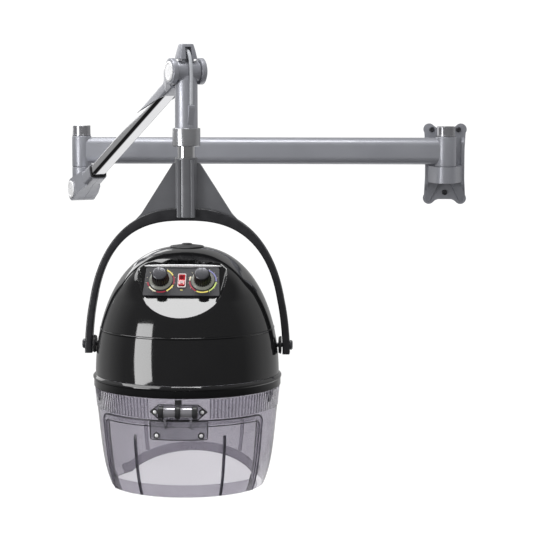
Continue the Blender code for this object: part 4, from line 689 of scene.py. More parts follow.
def make_arm_head():
    inner_y = KNUCKLE_DRUM_HALF + 0.0005
    outer_y = inner_y + KNUCKLE_CHEEK_WALL
    outer = rounded_section(SOCKET_WIDTH, SOCKET_HEIGHT - 0.004, 0.008)
    seat = rounded_section(LIFT_TUBE_WIDTH + 2 * GAP, LIFT_TUBE_HEIGHT + 2 * GAP, 0.006)
    channel = rounded_section(LIFT_TUBE_WIDTH - 0.007, LIFT_TUBE_HEIGHT - 0.003, 0.004)
    solid = along_x([(HEAD_BLOCK_START, outer), (HEAD_BLOCK_END, outer)])
    sleeve = rounded_section(LIFT_TUBE_WIDTH + 0.0034, LIFT_TUBE_HEIGHT + 0.0034, 0.0072)
    wedge = prism([(TONGUE_START, 0.0125), (HEAD_BLOCK_START, -0.0150), (HEAD_BLOCK_START + 0.008, -0.0150),
                   (HEAD_BLOCK_START + 0.008, 0.030), (TONGUE_START, 0.030)], -0.03, 0.03, "Y")
    tongue = carve(along_x([(TONGUE_START, sleeve), (HEAD_BLOCK_START + 0.006, sleeve)]), wedge,
                   operation="INTERSECT")
    parts = [tongue]
    for side in (-1, 1):
        cheek = moved(moved(rod(KNUCKLE_CHEEK_RADIUS, inner_y, outer_y, 0.0016), TO_Y), (LIFT_LENGTH, 0, 0))
        if side < 0:
            cheek = moved(cheek, Matrix.Scale(-1, 4, Vector((0, 1, 0))))
        arm = prism([(HEAD_BLOCK_START + 0.004, side * 0.0155), (HEAD_BLOCK_START + 0.004, side * 0.0185),
                     (LIFT_LENGTH - 0.028, side * outer_y), (LIFT_LENGTH, side * outer_y),
                     (LIFT_LENGTH, side * inner_y), (LIFT_LENGTH - 0.032, side * inner_y),
                     (HEAD_BLOCK_END - 0.002, side * 0.0155)], -0.013, 0.013)
        parts += [cheek, arm]
    solid = join(solid, *parts)
    cavity = along_x([(TONGUE_START - 0.01, seat), (LIFT_TUBE_END + GAP, seat)])
    passage = along_x([(LIFT_TUBE_END - 0.01, channel), (HEAD_BLOCK_END + 0.02, channel)])
    pin_bore = moved(moved(rod(KNUCKLE_PIN_RADIUS + GAP, -0.05, 0.05, 0, 32), TO_Y), (LIFT_LENGTH, 0, 0))
    solid = carve(solid, cavity, passage, pin_bore)
    piece("head_fork", solid, LIFT, "lift_arm", ["arm_head"], GREY, 0.0009)


# ---------------------------------------------------------------- head

HEAD_TUBE_RADIUS, HEAD_TUBE_BOTTOM = 0.022, -0.111
COLLAR_RADIUS, COLLAR_BOTTOM = 0.027, -0.144
ROD_RADIUS, ROD_TOP = 0.0175, -0.060
COVER_BOTTOM, COVER_TOP = 0.0235, 0.0525
LEAD_RADIUS = 0.0034
LEAD_ROUTE = [Vector(p) for p in ((0.0035, 0, 0.0400), (0.0115, 0, 0.0375), (0.0200, 0, 0.0280),
                                  (0.0252, 0, 0.0120), (0.0268, 0, -0.0060), (0.0266, 0, -0.0260),
                                  (0.0262, 0, -0.0460), (0.0260, 0, -0.0640))]


def make_head_tube():
    profile = [(0, -0.004), (HEAD_TUBE_RADIUS * 0.8, -0.004, 0.004), (HEAD_TUBE_RADIUS, -0.016, 0.006),
               (HEAD_TUBE_RADIUS, HEAD_TUBE_BOTTOM, 0.0008), (0, HEAD_TUBE_BOTTOM)]
    tube = lathe(fillet(profile, 0, 6, closed=False), 128)
    drum = moved(rod(KNUCKLE_DRUM_RADIUS, -KNUCKLE_DRUM_HALF, KNUCKLE_DRUM_HALF, 0.0012, 128), TO_Y)
    gland_top = LEAD_ROUTE[-1].z - GAP
    gland = prism(fillet([(0.018, gland_top), (0.0305, gland_top), (0.0300, gland_top - 0.006, 0.006),
                          (0.0220, gland_top - 0.038), (0.018, gland_top - 0.038)], 0.0015, 4), -0.0055,
                  0.0055, "Y")
    pin_bore = moved(rod(KNUCKLE_PIN_RADIUS + GAP, -0.04, 0.04, 0, 32), TO_Y)
    slot = block((-0.04, -0.0047, -0.050), (0.0065, 0.0047, 0.0145))
    rod_bore = rod(ROD_RADIUS + GAP, HEAD_TUBE_BOTTOM - 0.01, ROD_TOP + GAP, 0, 96)
    solid = carve(join(tube, drum, gland), pin_bore, slot, rod_bore)
    piece("upright_tube", solid, HEAD, "head", ["head_tube"], GREY, 0.0012)


def make_collar():
    step = HEAD_TUBE_BOTTOM + 0.002
    profile = [(HEAD_TUBE_RADIUS + GAP, step, 0.0002), (COLLAR_RADIUS, step, 0.0016),
               (COLLAR_RADIUS, COLLAR_BOTTOM, 0.0020), (ROD_RADIUS + GAP, COLLAR_BOTTOM, 0.0008),
               (ROD_RADIUS + GAP, HEAD_TUBE_BOTTOM - GAP), (HEAD_TUBE_RADIUS + GAP, HEAD_TUBE_BOTTOM - GAP)]
    ring = lathe(fillet(profile, 0, 6), 128, ring=True)
    piece("clamp_collar", ring, HEAD, "head", ["swivel_collar"], COLLAR_PAINT)
    low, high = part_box("swivel_rod")
    profile = [(0, low.z), (ROD_RADIUS, low.z, 0.001), (ROD_RADIUS, high.z, 0.0015), (0, high.z)]
    bright = lathe(fillet(profile, 0, 5, closed=False), 128)
    place = Matrix.Translation((KNUCKLE.x, KNUCKLE.y, 0))
    piece("bright_rod", bright, place, "yoke", ["swivel_rod"], CHROME)


def make_cover():
    sections = []
    for z, shrink in ((COVER_BOTTOM, 0.0), (COVER_BOTTOM + 0.0015, 0.0001), (0.040, 0.0058),
                      (COVER_TOP - 0.0022, 0.0106), (COVER_TOP - 0.0006, 0.0120), (COVER_TOP, 0.0140)):
        outline = rounded_section(0.0325 - shrink, 0.0365 - shrink, 0.004, 6)
        sections.append([(x, y, z) for x, y in outline])
    foot = block((-0.010, -0.012, 0.012), (0.010, 0.012, COVER_BOTTOM + 0.002))
    saddle = moved(rod(KNUCKLE_DRUM_RADIUS + GAP, -0.04, 0.04, 0, 96), TO_Y)
    window = block((-0.002, -0.0062, COVER_BOTTOM - 0.02), (0.03, 0.0062, 0.047))
    solid = carve(join(loft(sections), foot), saddle, window)
    piece("knuckle_hood", solid, HEAD, "head", ["knuckle_cover"], GREY, 0.0007)


def smooth_route(points, steps):
    """Points along a Catmull-Rom curve through a route."""
    ends = [2 * points[0] - points[1], *points, 2 * points[-1] - points[-2]]
    fine = []
    for a, b, c, d in zip(ends, ends[1:], ends[2:], ends[3:]):
        for i in range(steps):
            t = i / steps
            fine.append(0.5 * (2 * b + t * (c - a) + t * t * (2 * a - 5 * b + 4 * c - d)
                               + t ** 3 * (3 * b - a - 3 * c + d)))
    return [*fine, points[-1]]


def make_lead():
    """The light grey lead from the cover down to its gland."""
    points = [HEAD @ p for p in smooth_route(LEAD_ROUTE, 6)]
    curve = bpy.data.curves.new("grey_lead", "CURVE")
    curve.dimensions = "3D"
    curve.bevel_depth = LEAD_RADIUS
    curve.bevel_resolution = 8
    curve.use_fill_caps = True
    spline = curve.splines.new("POLY")
    spline.points.add(len(points) - 1)
    for point, place in zip(spline.points, points):
        point.co = (*place, 1.0)
    spline.use_smooth = True
    curve.materials.append(LEAD)
    lead = bpy.data.objects.new("grey_lead", curve)
    bpy.context.scene.collection.objects.link(lead)
    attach(lead, "head")
    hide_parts("supply_lead")


# ---------------------------------------------------------------- yoke

YOKE_COLUMN_RADIUS, YOKE_COLUMN_LENGTH = 0.0222, 0.116
YOKE_ARM_DEPTH, YOKE_WEB_DEPTH = 0.026, 0.011
YOKE_OUTER = (0.1955, 0.268, 2.4)  # half span, rise above the tilt axis and power of the superellipse
YOKE_INNER = (0.1815, 0.243, 2.6)
YOKE_SPLAY, YOKE_SPLAY_HEIGHT = 0.005, 0.090
YOKE_FOOT = -0.017
COLUMN_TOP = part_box("yoke")[1].z - HOOD.translation.z
TILT_HUB_RADIUS = 0.018


def yoke_curve(half_span, rise, power, steps=72):
    """One edge of the bent strap, from the right foot over the crown to the left one."""
    points = []
    for i in range(steps + 1):
        angle = math.pi * i / steps
        x = half_span * abs(math.cos(angle)) ** (2 / power)
        z = rise * abs(math.sin(angle)) ** (2 / power)
        x += YOKE_SPLAY * max(0.0, 1 - z / YOKE_SPLAY_HEIGHT)
        points.append((math.copysign(x, math.cos(angle)), z))
    return points


def make_strap():
    """The bent strap: a crowned section swept between its two edges, with rounded feet."""
    outer, inner = yoke_curve(*YOKE_OUTER), yoke_curve(*YOKE_INNER)
    foot = [(outer[0][0], YOKE_FOOT), (inner[0][0], YOKE_FOOT)]
    pairs = [((foot[0][0], foot[0][1]), foot[1]), *zip(outer, inner),
             ((-foot[0][0], foot[0][1]), (-foot[1][0], foot[1][1]))]
    sections = []
    for (ox, oz), (ix, iz) in pairs:
        outline = strap_section(math.dist((ox, oz), (ix, iz)))
        middle = Vector(((ox + ix) / 2, (oz + iz) / 2))
        out = Vector((ox - ix, oz - iz)).normalized()
        sections.append([(middle.x + out.x * a, y, middle.y + out.y * a) for a, y in outline])
    holes = [moved(rod(0.0045 + GAP, -0.02, 0.02, 0, 32), Matrix.Translation((side * 0.194, 0, 0)) @ TO_X)
             for side in (-1, 1)]
    solid = carve(loft(sections), *holes)
    piece("yoke_strap", solid, HOOD, "yoke", ["yoke"], YOKE_PAINT, sharp=50)


def strap_section(thickness):
    """The strap's cross-section: a soft rectangle with a shallow channel along its outer face."""
    half, deep = thickness / 2, YOKE_ARM_DEPTH / 2
    return fillet([(half, deep), (-half, deep), (-half, -deep), (half, -deep), (half, -deep * 0.45, 0.001),
                   (half - 0.0012, -deep * 0.30, 0.001), (half - 0.0012, deep * 0.30, 0.001),
                   (half, deep * 0.45, 0.001)], 0.0032, 5)


def make_web():
    """The column and its triangular web, whose foot flares out along the strap."""
    bottom = COLUMN_TOP - YOKE_COLUMN_LENGTH
    profile = [(0, bottom), (YOKE_COLUMN_RADIUS, bottom, 0.002), (YOKE_COLUMN_RADIUS, COLUMN_TOP, 0.0022),
               (0, COLUMN_TOP)]
    column = lathe(fillet(profile, 0, 6, closed=False), 128)
    half_web = [(0.060, 0.247), (0.110, 0.225), (0.118, 0.2310), (0.100, 0.2440, 0.05), (0.088, 0.2565, 0.05),
                (0.0255, COLUMN_TOP - 0.010)]
    outline = [(-p[0], *p[1:]) for p in half_web] + list(reversed(half_web))
    web = prism(fillet(outline, 0.0, 8), -YOKE_WEB_DEPTH / 2, YOKE_WEB_DEPTH / 2, "Y")
    ribs = []
    for x in (-0.0135, 0.0135):
        bar = fillet([(x - 0.0045, -YOKE_COLUMN_RADIUS + 0.006), (x - 0.0035, -YOKE_COLUMN_RADIUS - 0.0002),
                      (x + 0.0035, -YOKE_COLUMN_RADIUS - 0.0002), (x + 0.0045, -YOKE_COLUMN_RADIUS + 0.006)],
                     0.0015, 4)
        ribs.append(prism(bar, bottom + 0.001, COLUMN_TOP - 0.004))
        ribs.append(prism([(a, -b) for a, b in bar], bottom + 0.001, COLUMN_TOP - 0.004))
    solid = join(column, web, *ribs)
    solid = carve(solid, rod(ROD_RADIUS + GAP, COLUMN_TOP - 0.055, COLUMN_TOP + 0.02, 0, 96))
    piece("yoke_web", solid, HOOD, "yoke", ["yoke"], WEB_PAINT, 0.0014)


def make_tilt_pivots():
    for side, word in ((-1, "left"), (1, "right")):
        low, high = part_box(f"tilt_hub_{word}")
        inner = min(abs(low.x - HOOD.translation.x), abs(high.x - HOOD.translation.x))
        outer = max(abs(low.x - HOOD.translation.x), abs(high.x - HOOD.translation.x))
        place = HOOD @ Matrix.Rotation(0 if side > 0 else math.pi, 4, "Z") @ TO_X
        profile = [(0.0048, inner), (TILT_HUB_RADIUS - 0.002, inner, 0.0005),
                   (TILT_HUB_RADIUS, outer, 0.0012), (0.0048, outer, 0.0003)]
        hub = lathe(fillet(profile, 0.0003, 5), 96, ring=True)
        piece(f"pivot_hub_{word}", hub, place, "hood", [f"tilt_hub_{word}"], BLACK)
        low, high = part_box(f"tilt_bolt_{word}")
        end = max(abs(low.x - HOOD.translation.x), abs(high.x - HOOD.translation.x))
        head = end - 0.0055
        profile = [(0, 0.160), (0.010, 0.160), (0.010, 0.166), (0.0045, 0.166), (0.0045, head),
                   (0.0095, head, 0.0004), (0.0095, head + 0.0035, 0.0012), (0.0072, end - 0.0002, 0.0012),
                   (0, end)]
        bolt = lathe(fillet(profile, 0.0002, 5, closed=False), 72)
        hexagon = [(0.0044 * math.cos(a), 0.0044 * math.sin(a)) for a in (math.pi * i / 3 for i in range(6))]
        bolt = carve(bolt, prism(hexagon, end - 0.0028, end + 0.01))
        piece(f"pivot_bolt_{word}", bolt, place, "hood", [f"tilt_bolt_{word}"], DARK, 0.0003)


# ---------------------------------------------------------------- hood

HOOD_RADIUS, HOOD_TOP, HOOD_SEAM, HOOD_BOTTOM = 0.179, 0.193, 0.036, -0.0535
HOOD_WALL = 0.003
RIM_RADIUS, RIM_TOP, RIM_BOTTOM = size("rim_ring", 0) / 2, -0.054, -0.077
PANEL_TOP = Vector((0, -0.080, 0.164))
PANEL_BOTTOM = Vector((0, -0.1234, 0.1085))
PANEL_THICK = 0.003
RECESS_HALF_WIDTH, SILL_SLOPE = 0.079, math.radians(43.8)
DOME_EYE = Vector((0, 0.045, 0.050))  # the point from which the whole dome, recess included, is seen


def hood_radius(z):
    share = (z - HOOD_BOTTOM) / (HOOD_TOP - HOOD_BOTTOM)
    return HOOD_RADIUS * np.maximum(0.0, 1 - share ** 2) ** 0.40


def smooth_max(a, b, blend):
    """The larger of two distances, with a round of about blend where they meet."""
    overlap = np.maximum(blend - np.abs(a - b), 0.0) / blend
    return np.maximum(a, b) + overlap ** 2 * blend / 4


def smooth_min(a, b, blend):
    return -smooth_max(-a, -b, blend)


def dome_field(x, y, z):
    """Signed distance, roughly, of the dome with the control panel's recess taken out of it."""
    dome = np.hypot(x, y) - hood_radius(np.minimum(z, HOOD_TOP))
    side_angle = np.abs(np.arctan2(x, -y))
    rise = np.clip((z - 0.098) / 0.070, 0, 1.35)
    swell = 0.013 * np.abs(np.sin(np.pi * rise / 1.35)) ** 1.5 * np.exp(-((side_angle - 0.803) / 0.297) ** 2)
    dome = np.maximum(dome - swell, (z - HOOD_TOP) * 0.9)
    floor = PANEL_THICK + GAP
    face = (y - PANEL_TOP.y) * PANEL_OUT.y + (z - PANEL_TOP.z) * PANEL_OUT.z + floor
    sill_up = Vector((0, -math.sin(SILL_SLOPE), math.cos(SILL_SLOPE)))
    start = PANEL_BOTTOM - PANEL_OUT * floor
    above_sill = (y - start.y) * sill_up.y + (z - start.z) * sill_up.z
    inside = RECESS_HALF_WIDTH + 0.006 * np.clip((z - 0.10) / 0.06, -1, 1) - np.abs(x)
    below_lip = PANEL_TOP.z + 0.0050 - 0.0030 * (x / RECESS_HALF_WIDTH) ** 2 - z
    bowl = smooth_min(smooth_min(above_sill, inside, 0.016), below_lip, 0.006)
    removed = smooth_min(face, bowl, 0.0010)
    return smooth_max(dome, removed, 0.0022)


def dome_columns():
    """Angles round the dome, packed closer in front where the panel is."""
    count = 420
    steps = np.arange(count) / count * 2 * np.pi
    return steps - 0.55 * np.sin(steps)


def make_upper_dome():
    """The upper shell, found along rays from a point inside it."""
    angles = dome_columns()
    base = HOOD_SEAM + GAP
    rows = 190
    share = (1 - np.cos(np.linspace(0, np.pi, rows))) / 2 * 0.35 + np.linspace(0, 1, rows) * 0.65
    heights = base + (HOOD_TOP - 0.00002 - base) * np.sin(share * np.pi / 2) ** 1.1
    bm = bmesh.new()
    rings = []
    eye = np.array(DOME_EYE)
    for z in heights:
        radius = hood_radius(z)
        target = np.stack([radius * np.sin(angles), -radius * np.cos(angles), np.full_like(angles, z)],
                          axis=1)
        ray = target - eye
        near, far = np.full(len(angles), 0.45), np.full(len(angles), 1.25)
        for _ in range(26):
            middle = (near + far) / 2
            place = eye + ray * middle[:, None]
            outside = dome_field(place[:, 0], place[:, 1], place[:, 2]) > 0
            far = np.where(outside, middle, far)
            near = np.where(outside, near, middle)
        place = eye + ray * ((near + far) / 2)[:, None]
        if z == heights[0]:
            place[:, 2] = base
        rings.append([bm.verts.new(p) for p in place])
    rings.append([bm.verts.new((0, 0, HOOD_TOP))])
    bridge(bm, rings)
    bottom = max(bm.faces, key=lambda face: len(face.verts))
    bm.faces.remove(bottom)
    obj = piece("dome_shell", bm, HOOD, "hood", ["hood_upper"], GLOSS, sharp=60)
    wall = obj.modifiers.new("Wall", "SOLIDIFY")
    wall.thickness = 0.0022
    wall.offset = -1.0


def make_lower_dome():
    levels = np.linspace(HOOD_BOTTOM, HOOD_SEAM, 24)
    outer = [(float(hood_radius(z)), float(z)) for z in levels]
    top_r, top_z = outer[-1]
    bead = [(top_r + 0.0012, top_z - 0.0030, 0.0011), (top_r + 0.0012, top_z, 0.0014),
            (top_r - 0.0020, top_z, 0.0004)]
    inner = [(r - HOOD_WALL, z) for r, z in reversed(outer)]
    profile = fillet([(r, z, 0) for r, z in outer[:-1]] + [(top_r, top_z - 0.0040, 0)] + bead
                     + [(r, z, 0) for r, z in inner], 0, 4)
    shell = lathe(profile, 256, ring=True)
    holes = [moved(rod(0.0045 + GAP, 0.150, 0.20, 0, 32), Matrix.Rotation(turn, 4, "Z") @ TO_X)
             for turn in (0, math.pi)]
    piece("lower_shell", carve(shell, *holes), HOOD, "hood", ["hood_lower"], GLOSS)
    rim = [(RIM_RADIUS - 0.0105, RIM_TOP), (RIM_RADIUS - 0.0042, RIM_TOP, 0.0016),
           (RIM_RADIUS, RIM_TOP - 0.0042, 0.0012), (RIM_RADIUS, RIM_TOP - 0.0076, 0.0010),
           (RIM_RADIUS - 0.0016, RIM_TOP - 0.0084, 0.0006), (RIM_RADIUS - 0.0016, RIM_BOTTOM, 0.0007),
           (RIM_RADIUS - 0.0035, RIM_BOTTOM, 0.0005), (RIM_RADIUS - 0.0035, RIM_TOP - 0.011),
           (RIM_RADIUS - 0.0105, RIM_TOP - 0.011)]
    piece("rim_band", lathe(fillet(rim, 0.0003, 6), 256, ring=True), HOOD, "hood", ["rim_ring"],
          GLOSS)
    base = HOOD_TOP + 0.0015
    cap = [(0, base), (0.029, base - 0.0028), (0.033, base - 0.0034), (0.0335, base - 0.0022, 0.0006),
           (0.032, base - 0.001, 0.0006), (0.0105, base + 0.0022, 0.002), (0.009, base + 0.0040, 0.0010),
           (0, base + 0.0045)]
    piece("crown_cap", lathe(fillet(cap, 0, 5, closed=False), 96), HOOD, "hood", ["top_cap"],
          BLACK)


# ---------------------------------------------------------------- control panel

PANEL_WIDTH, PANEL_HALF_LENGTH = 0.146, 0.0325
KNOB_HEIGHT = 0.030
LIP_HIGHLIGHT_HALF = 0.0735


def make_panel():
    half = PANEL_WIDTH / 2
    shoulder = half - 0.0035
    corners = [(-shoulder, PANEL_HALF_LENGTH, 0.007), (-half, -PANEL_HALF_LENGTH, 0.002),
               (half, -PANEL_HALF_LENGTH, 0.002), (shoulder, PANEL_HALF_LENGTH, 0.007)]
    plate = prism(fillet(corners, 0, 8), -PANEL_THICK, 0)
    holes = [moved(rod(0.0045, -0.02, 0.02, 0, 32), (x, 0, 0)) for x in (-KNOB_X, KNOB_X)]
    plate = carve(plate, *holes, block((-0.0060, -0.0125, -0.02), (0.0060, 0.0125, 0.02)))
    piece("fascia", plate, PANEL, "hood", ["control_panel"], FILM, 0.0005)
    opening = rounded_section(0.0124, 0.0268, 0.0006, 3)
    surround = carve(prism(rounded_section(0.0156, 0.0300, 0.0022, 6), GAP, 0.0022),
                     prism(opening, -0.01, 0.01))
    piece("rocker_frame", surround, PANEL, "hood", ["switch_frame"], WHITE, 0.0006)
    # the painted highlight along the recess's upper edge
    make_lip_highlight()


def make_lip_highlight():
    """A bright lens-shaped bead along the recess's upper edge: a painted highlight where that edge catches
    the light.
    """
    sections = []
    for x in np.linspace(-LIP_HIGHLIGHT_HALF, LIP_HIGHLIGHT_HALF, 61):
        fade = max(0.0, 1 - (x / LIP_HIGHLIGHT_HALF) ** 2)
        tall = 0.0004 + 0.0022 * fade ** 0.5
        deep = 0.0005 + 0.0040 * fade ** 0.5
        ring = [(x, PANEL_HALF_LENGTH + 0.0004 + tall * math.sin(a), deep * math.cos(a) + 0.0003)
                for a in (2 * math.pi * k / 20 for k in range(20))]
        sections.append(ring)
    # painted highlight: the bright finish makes the bead show as a light line under any lamp
    piece("panel_lip_highlight", loft(sections), PANEL, "hood", [], DISC_AND_LIP_HIGHLIGHT)


def arc_band(radius, width, start, end, height=0.00025):
    """A thin raised arc on the panel, clockwise from 12 o'clock, in degrees."""
    steps = max(6, int(abs(end - start) / 3))
    sections = []
    for i in range(steps + 1):
        angle = math.radians(start + (end - start) * i / steps)
        x, y = math.sin(angle), math.cos(angle)
        ring = [(x * r, y * r, z) for r, z in ((radius - width / 2, GAP), (radius + width / 2, GAP),
                                               (radius + width / 2, GAP + height),
                                               (radius - width / 2, GAP + height))]
        sections.append(ring)
    return loft(sections)


DIALS = {"timer": (-1, ((YELLOW, 25, 62), (CRIMSON, 66, 108), (YELLOW, 112, 152), (CRIMSON, 156, 196),
                        (CREAM, 200, 238), (CRIMSON, 242, 262))),
         "heat": (1, ((VIOLET, 20, 92), (LIME, 96, 150), (YELLOW, 154, 206), (CRIMSON, 210, 268),
                      (CREAM, 272, 292))),}


def make_dials():
    for name, (side, arcs) in DIALS.items():
        place = PANEL @ Matrix.Translation((side * KNOB_X, 0, 0))
        for number, (ink, start, end) in enumerate(arcs, 1):
            band = arc_band(0.0252, 0.0026, start, end)
            piece(f"{name}_arc_{number}", band, place, "hood", [], ink)
        ticks = bmesh.new()
        for i in range(13):
            angle = math.radians(-150 + 25 * i)
            tick = moved(block((-0.0003, 0.0268, GAP), (0.0003, 0.0285, GAP + 0.0002)),
                         Matrix.Rotation(-angle, 4, "Z"))
            mesh = bpy.data.meshes.new("tick")
            tick.to_mesh(mesh)
            ticks.from_mesh(mesh)
            bpy.data.meshes.remove(mesh)
            tick.free()
        piece(f"{name}_ticks", ticks, place, "hood", [], CREAM)
        make_knob(name, place)
    mark = prism(rounded_section(0.0050, 0.0012, 0.0005, 4), GAP, GAP + 0.0002)
    piece("switch_mark", moved(mark, (0, -0.0205, 0)), PANEL, "hood", [], YELLOW)


def make_knob(name, place):
    """A knob in three parts: the skirt ring, the fluted grip and the domed cap with its pointer."""
    body = f"{name}_knob"
    skirt_profile = [(0, -0.0058), (0.003, -0.0058), (0.003, 0.0007), (0.0215, 0.0007, 0.0004),
                     (0.0222, 0.0035, 0.0008), (0.0185, 0.0056, 0.0006), (0.0150, 0.0060), (0, 0.0060)]
    skirt = lathe(fillet(skirt_profile, 0.0001, 4, closed=False), 96)
    piece(f"{name}_skirt", skirt, place, body, [body], KNOB_RING)
    flutes = 22
    sections = []
    for z, radius in ((0.0058, 0.0170), (0.0075, 0.0165), (0.0180, 0.0157), (0.0262, 0.0150),
                      (0.0274, 0.0146)):
        ring = []
        for k in range(flutes * 8):
            angle = 2 * math.pi * k / (flutes * 8)
            r = radius - 0.0012 * (0.5 + 0.5 * math.cos(flutes * angle)) ** 1.5
            ring.append((r * math.cos(angle), r * math.sin(angle), z))
        sections.append(ring)
    piece(f"{name}_grip", loft(sections), place, body, [body], JET, sharp=60)
    top = [(0, 0.0272), (0.0135, 0.0272, 0.0003), (0.0138, 0.0280, 0.0006), (0.0118, 0.0292, 0.0040),
           (0, KNOB_HEIGHT + 0.0004)]
    cap = lathe(fillet(top, 0.0001, 5, closed=False), 96)
    pointer = block((-0.0006, 0.0035, 0.0288), (0.0006, 0.0118, 0.0307))
    piece(f"{name}_cap", join(cap, pointer), place, body, [body], KNOB_TOP, 0.0002)


def make_rocker():
    """The red rocker, pressed at its lower end, with two darker lenses let into it."""
    outline = [(-0.0116, 0.0010), (-0.0116, 0.0060, 0.0008), (0.0, 0.0032, 0.004), (0.0116, 0.0045, 0.0008),
               (0.0116, 0.0010), (0.006, -0.0010), (-0.006, -0.0010)]
    rocker = prism(fillet(outline, 0.0004, 5), -0.0057, 0.0057, "X")
    piece("rocker_key", rocker, PANEL, "power_rocker", ["power_rocker"], RED, 0.0005)
    for word, low, high in (("upper", 0.0022, 0.0092), ("lower", -0.0092, -0.0022)):
        lens = prism(fillet([(-0.0032, low), (0.0032, low), (0.0032, high), (-0.0032, high)], 0.0008, 4), 0.0,
                     0.0012)
        for vertex in lens.verts:
            slope = 0.12 if vertex.co.y > 0 else 0.24
            vertex.co.z += 0.0031 + slope * abs(vertex.co.y)
        piece(f"rocker_lens_{word}", lens, PANEL, "power_rocker", [], GARNET, 0.0002)


# ---------------------------------------------------------------- skirt and visor

SKIRT_TOP, SKIRT_BOTTOM, SKIRT_WALL = -0.0645, -0.272, 0.0025
VISOR_ANGLE = math.radians(58.0)
VISOR_TOP, VISOR_BOTTOM, VISOR_WALL, VISOR_CLEARANCE = -0.118, -0.271, 0.0025, 0.0012
VISOR_GAUGE = 0.176  # mean radius, which turns distances round the wall into angles
BAND_TOP, BAND_LOW = -0.0790, -0.1160
INSIDE = -SKIRT_WALL - GAP  # from the skirt's outer face to a piece laid against its inner one
HINGE = joint_point("visor_flip") - HOOD.translation


def skirt_radius(z):
    drop = np.maximum(0.0, RIM_BOTTOM - z)
    length = RIM_BOTTOM - SKIRT_BOTTOM
    return 0.1798 - 0.098 * drop - 0.0115 * (drop / length) ** 6


def smooth_step(value, low, high):
    share = np.clip((value - low) / (high - low), 0, 1)
    return share * share * (3 - 2 * share)


def flat(height):
    """A level edge for wall_patch."""
    return lambda angles: np.full_like(angles, height)


def raised(edge, rise):
    """The edge given, moved up by rise."""
    return lambda angles: edge(angles) + rise


def skin(base, proud=0.0):
    """A round face for wall_patch: its radius is base(height), and proud of that by a little."""
    return lambda angles, z: base(z) + proud


def wall_patch(angles, top, low, outer, inner, rows, wrap=False):
    """A curved wall from top(angle) down to low(angle), between the radii outer and inner (angle, height)."""
    bm = bmesh.new()
    layers = []
    for radius_of in (outer, inner):
        layer = []
        for share in rows:
            z = top(angles) + (low(angles) - top(angles)) * share
            r = radius_of(angles, z)
            places = np.stack([r * np.sin(angles), -r * np.cos(angles), z + 0 * angles], axis=1)
            layer.append([bm.verts.new(p) for p in places])
        layers.append(layer)
    close_wall(bm, *layers, wrap)
    return bm


def close_wall(bm, outer, inner, wrap=False):
    """Join two layers of vertex rows into a closed wall."""
    bridge(bm, outer + list(reversed(inner)), closed_along=True, closed_round=wrap)
    if wrap:
        return
    for k in (0, -1):
        for i in range(len(outer) - 1):
            bm.faces.new([outer[i][k], outer[i + 1][k], inner[i + 1][k], inner[i][k]])


def skirt_low(angles):
    """The skirt's lower edge: hem, neck arch behind and face opening in front."""
    wrapped = (angles + np.pi) % (2 * np.pi) - np.pi
    side = np.abs(wrapped)
    back_x = 0.165 * np.sin(side)
    rise = 0.038 * np.maximum(0, 1 - (back_x / 0.148) ** 2) ** 0.75
    arch = np.where((side > np.pi / 2) & (back_x < 0.148), rise, 0.0)
    neck = np.maximum(SKIRT_BOTTOM, -0.281 + arch)
    opening = 1 - smooth_step(side, math.radians(54.0), math.radians(56.0))
    return neck + (-0.128 - neck) * opening


def fluted_skin(angles, z):
    """The skirt's outer face, with shallow flutes in the band under the rim."""
    band = smooth_step(z, BAND_LOW - 0.001, BAND_LOW + 0.001) * (1 - smooth_step(z, BAND_TOP,
                                                                                 BAND_TOP + 0.0015))
    return skirt_radius(z) - FLUTE_DEPTH * band * (0.5 + 0.5 * np.cos(FLUTES * angles))


def proud_flutes(angles, z):
    return fluted_skin(angles, z) + 0.0012


def make_skirt():
    angles = np.arange(FLUTES * 4) / (FLUTES * 4) * 2 * np.pi
    rows = [0, 0.03, 0.055, 0.066, 0.16, 0.235, 0.250, 0.265, *np.linspace(0.32, 0.96, 12), 0.985, 1.0]
    shell = wall_patch(angles, flat(SKIRT_TOP), skirt_low, fluted_skin, skin(skirt_radius, -SKIRT_WALL), rows,
                       wrap=True)
    piece("clear_skirt", shell, HOOD, "hood", ["skirt"], CLEAR, sharp=50)
    for side, word in ((-1, "left"), (1, "right")):
        arc = side * np.linspace(math.radians(19), math.radians(120), 480)
        strip = wall_patch(arc, flat(BAND_TOP), flat(BAND_LOW), proud_flutes, skin(skirt_radius, GAP),
                           np.linspace(0, 1, 3))
        piece(f"flute_band_{word}", strip, HOOD, "hood", ["skirt"], FLUTE_SHADE_LOOK, sharp=60)
    make_arch_border()
    make_ribs_and_feet()


def make_arch_border():
    """A second layer inside the wall along the neck arch, 17 mm wide."""
    half = math.radians(66)
    angles = np.pi + np.linspace(-half, half, 120)
    strip = wall_patch(angles, raised(skirt_low, 0.0185), raised(skirt_low, 0.0012),
                       skin(skirt_radius, INSIDE), skin(skirt_radius, -SKIRT_WALL - 0.0016),
                       np.linspace(0, 1, 5))
    piece("arch_border", strip, HOOD, "hood", ["skirt"], CLEAR)


def foot_top(angles):
    """The upper edge of a foot, which falls away from the face opening."""
    return -0.238 - 0.026 * smooth_step(np.abs(angles), math.radians(57), math.radians(69))


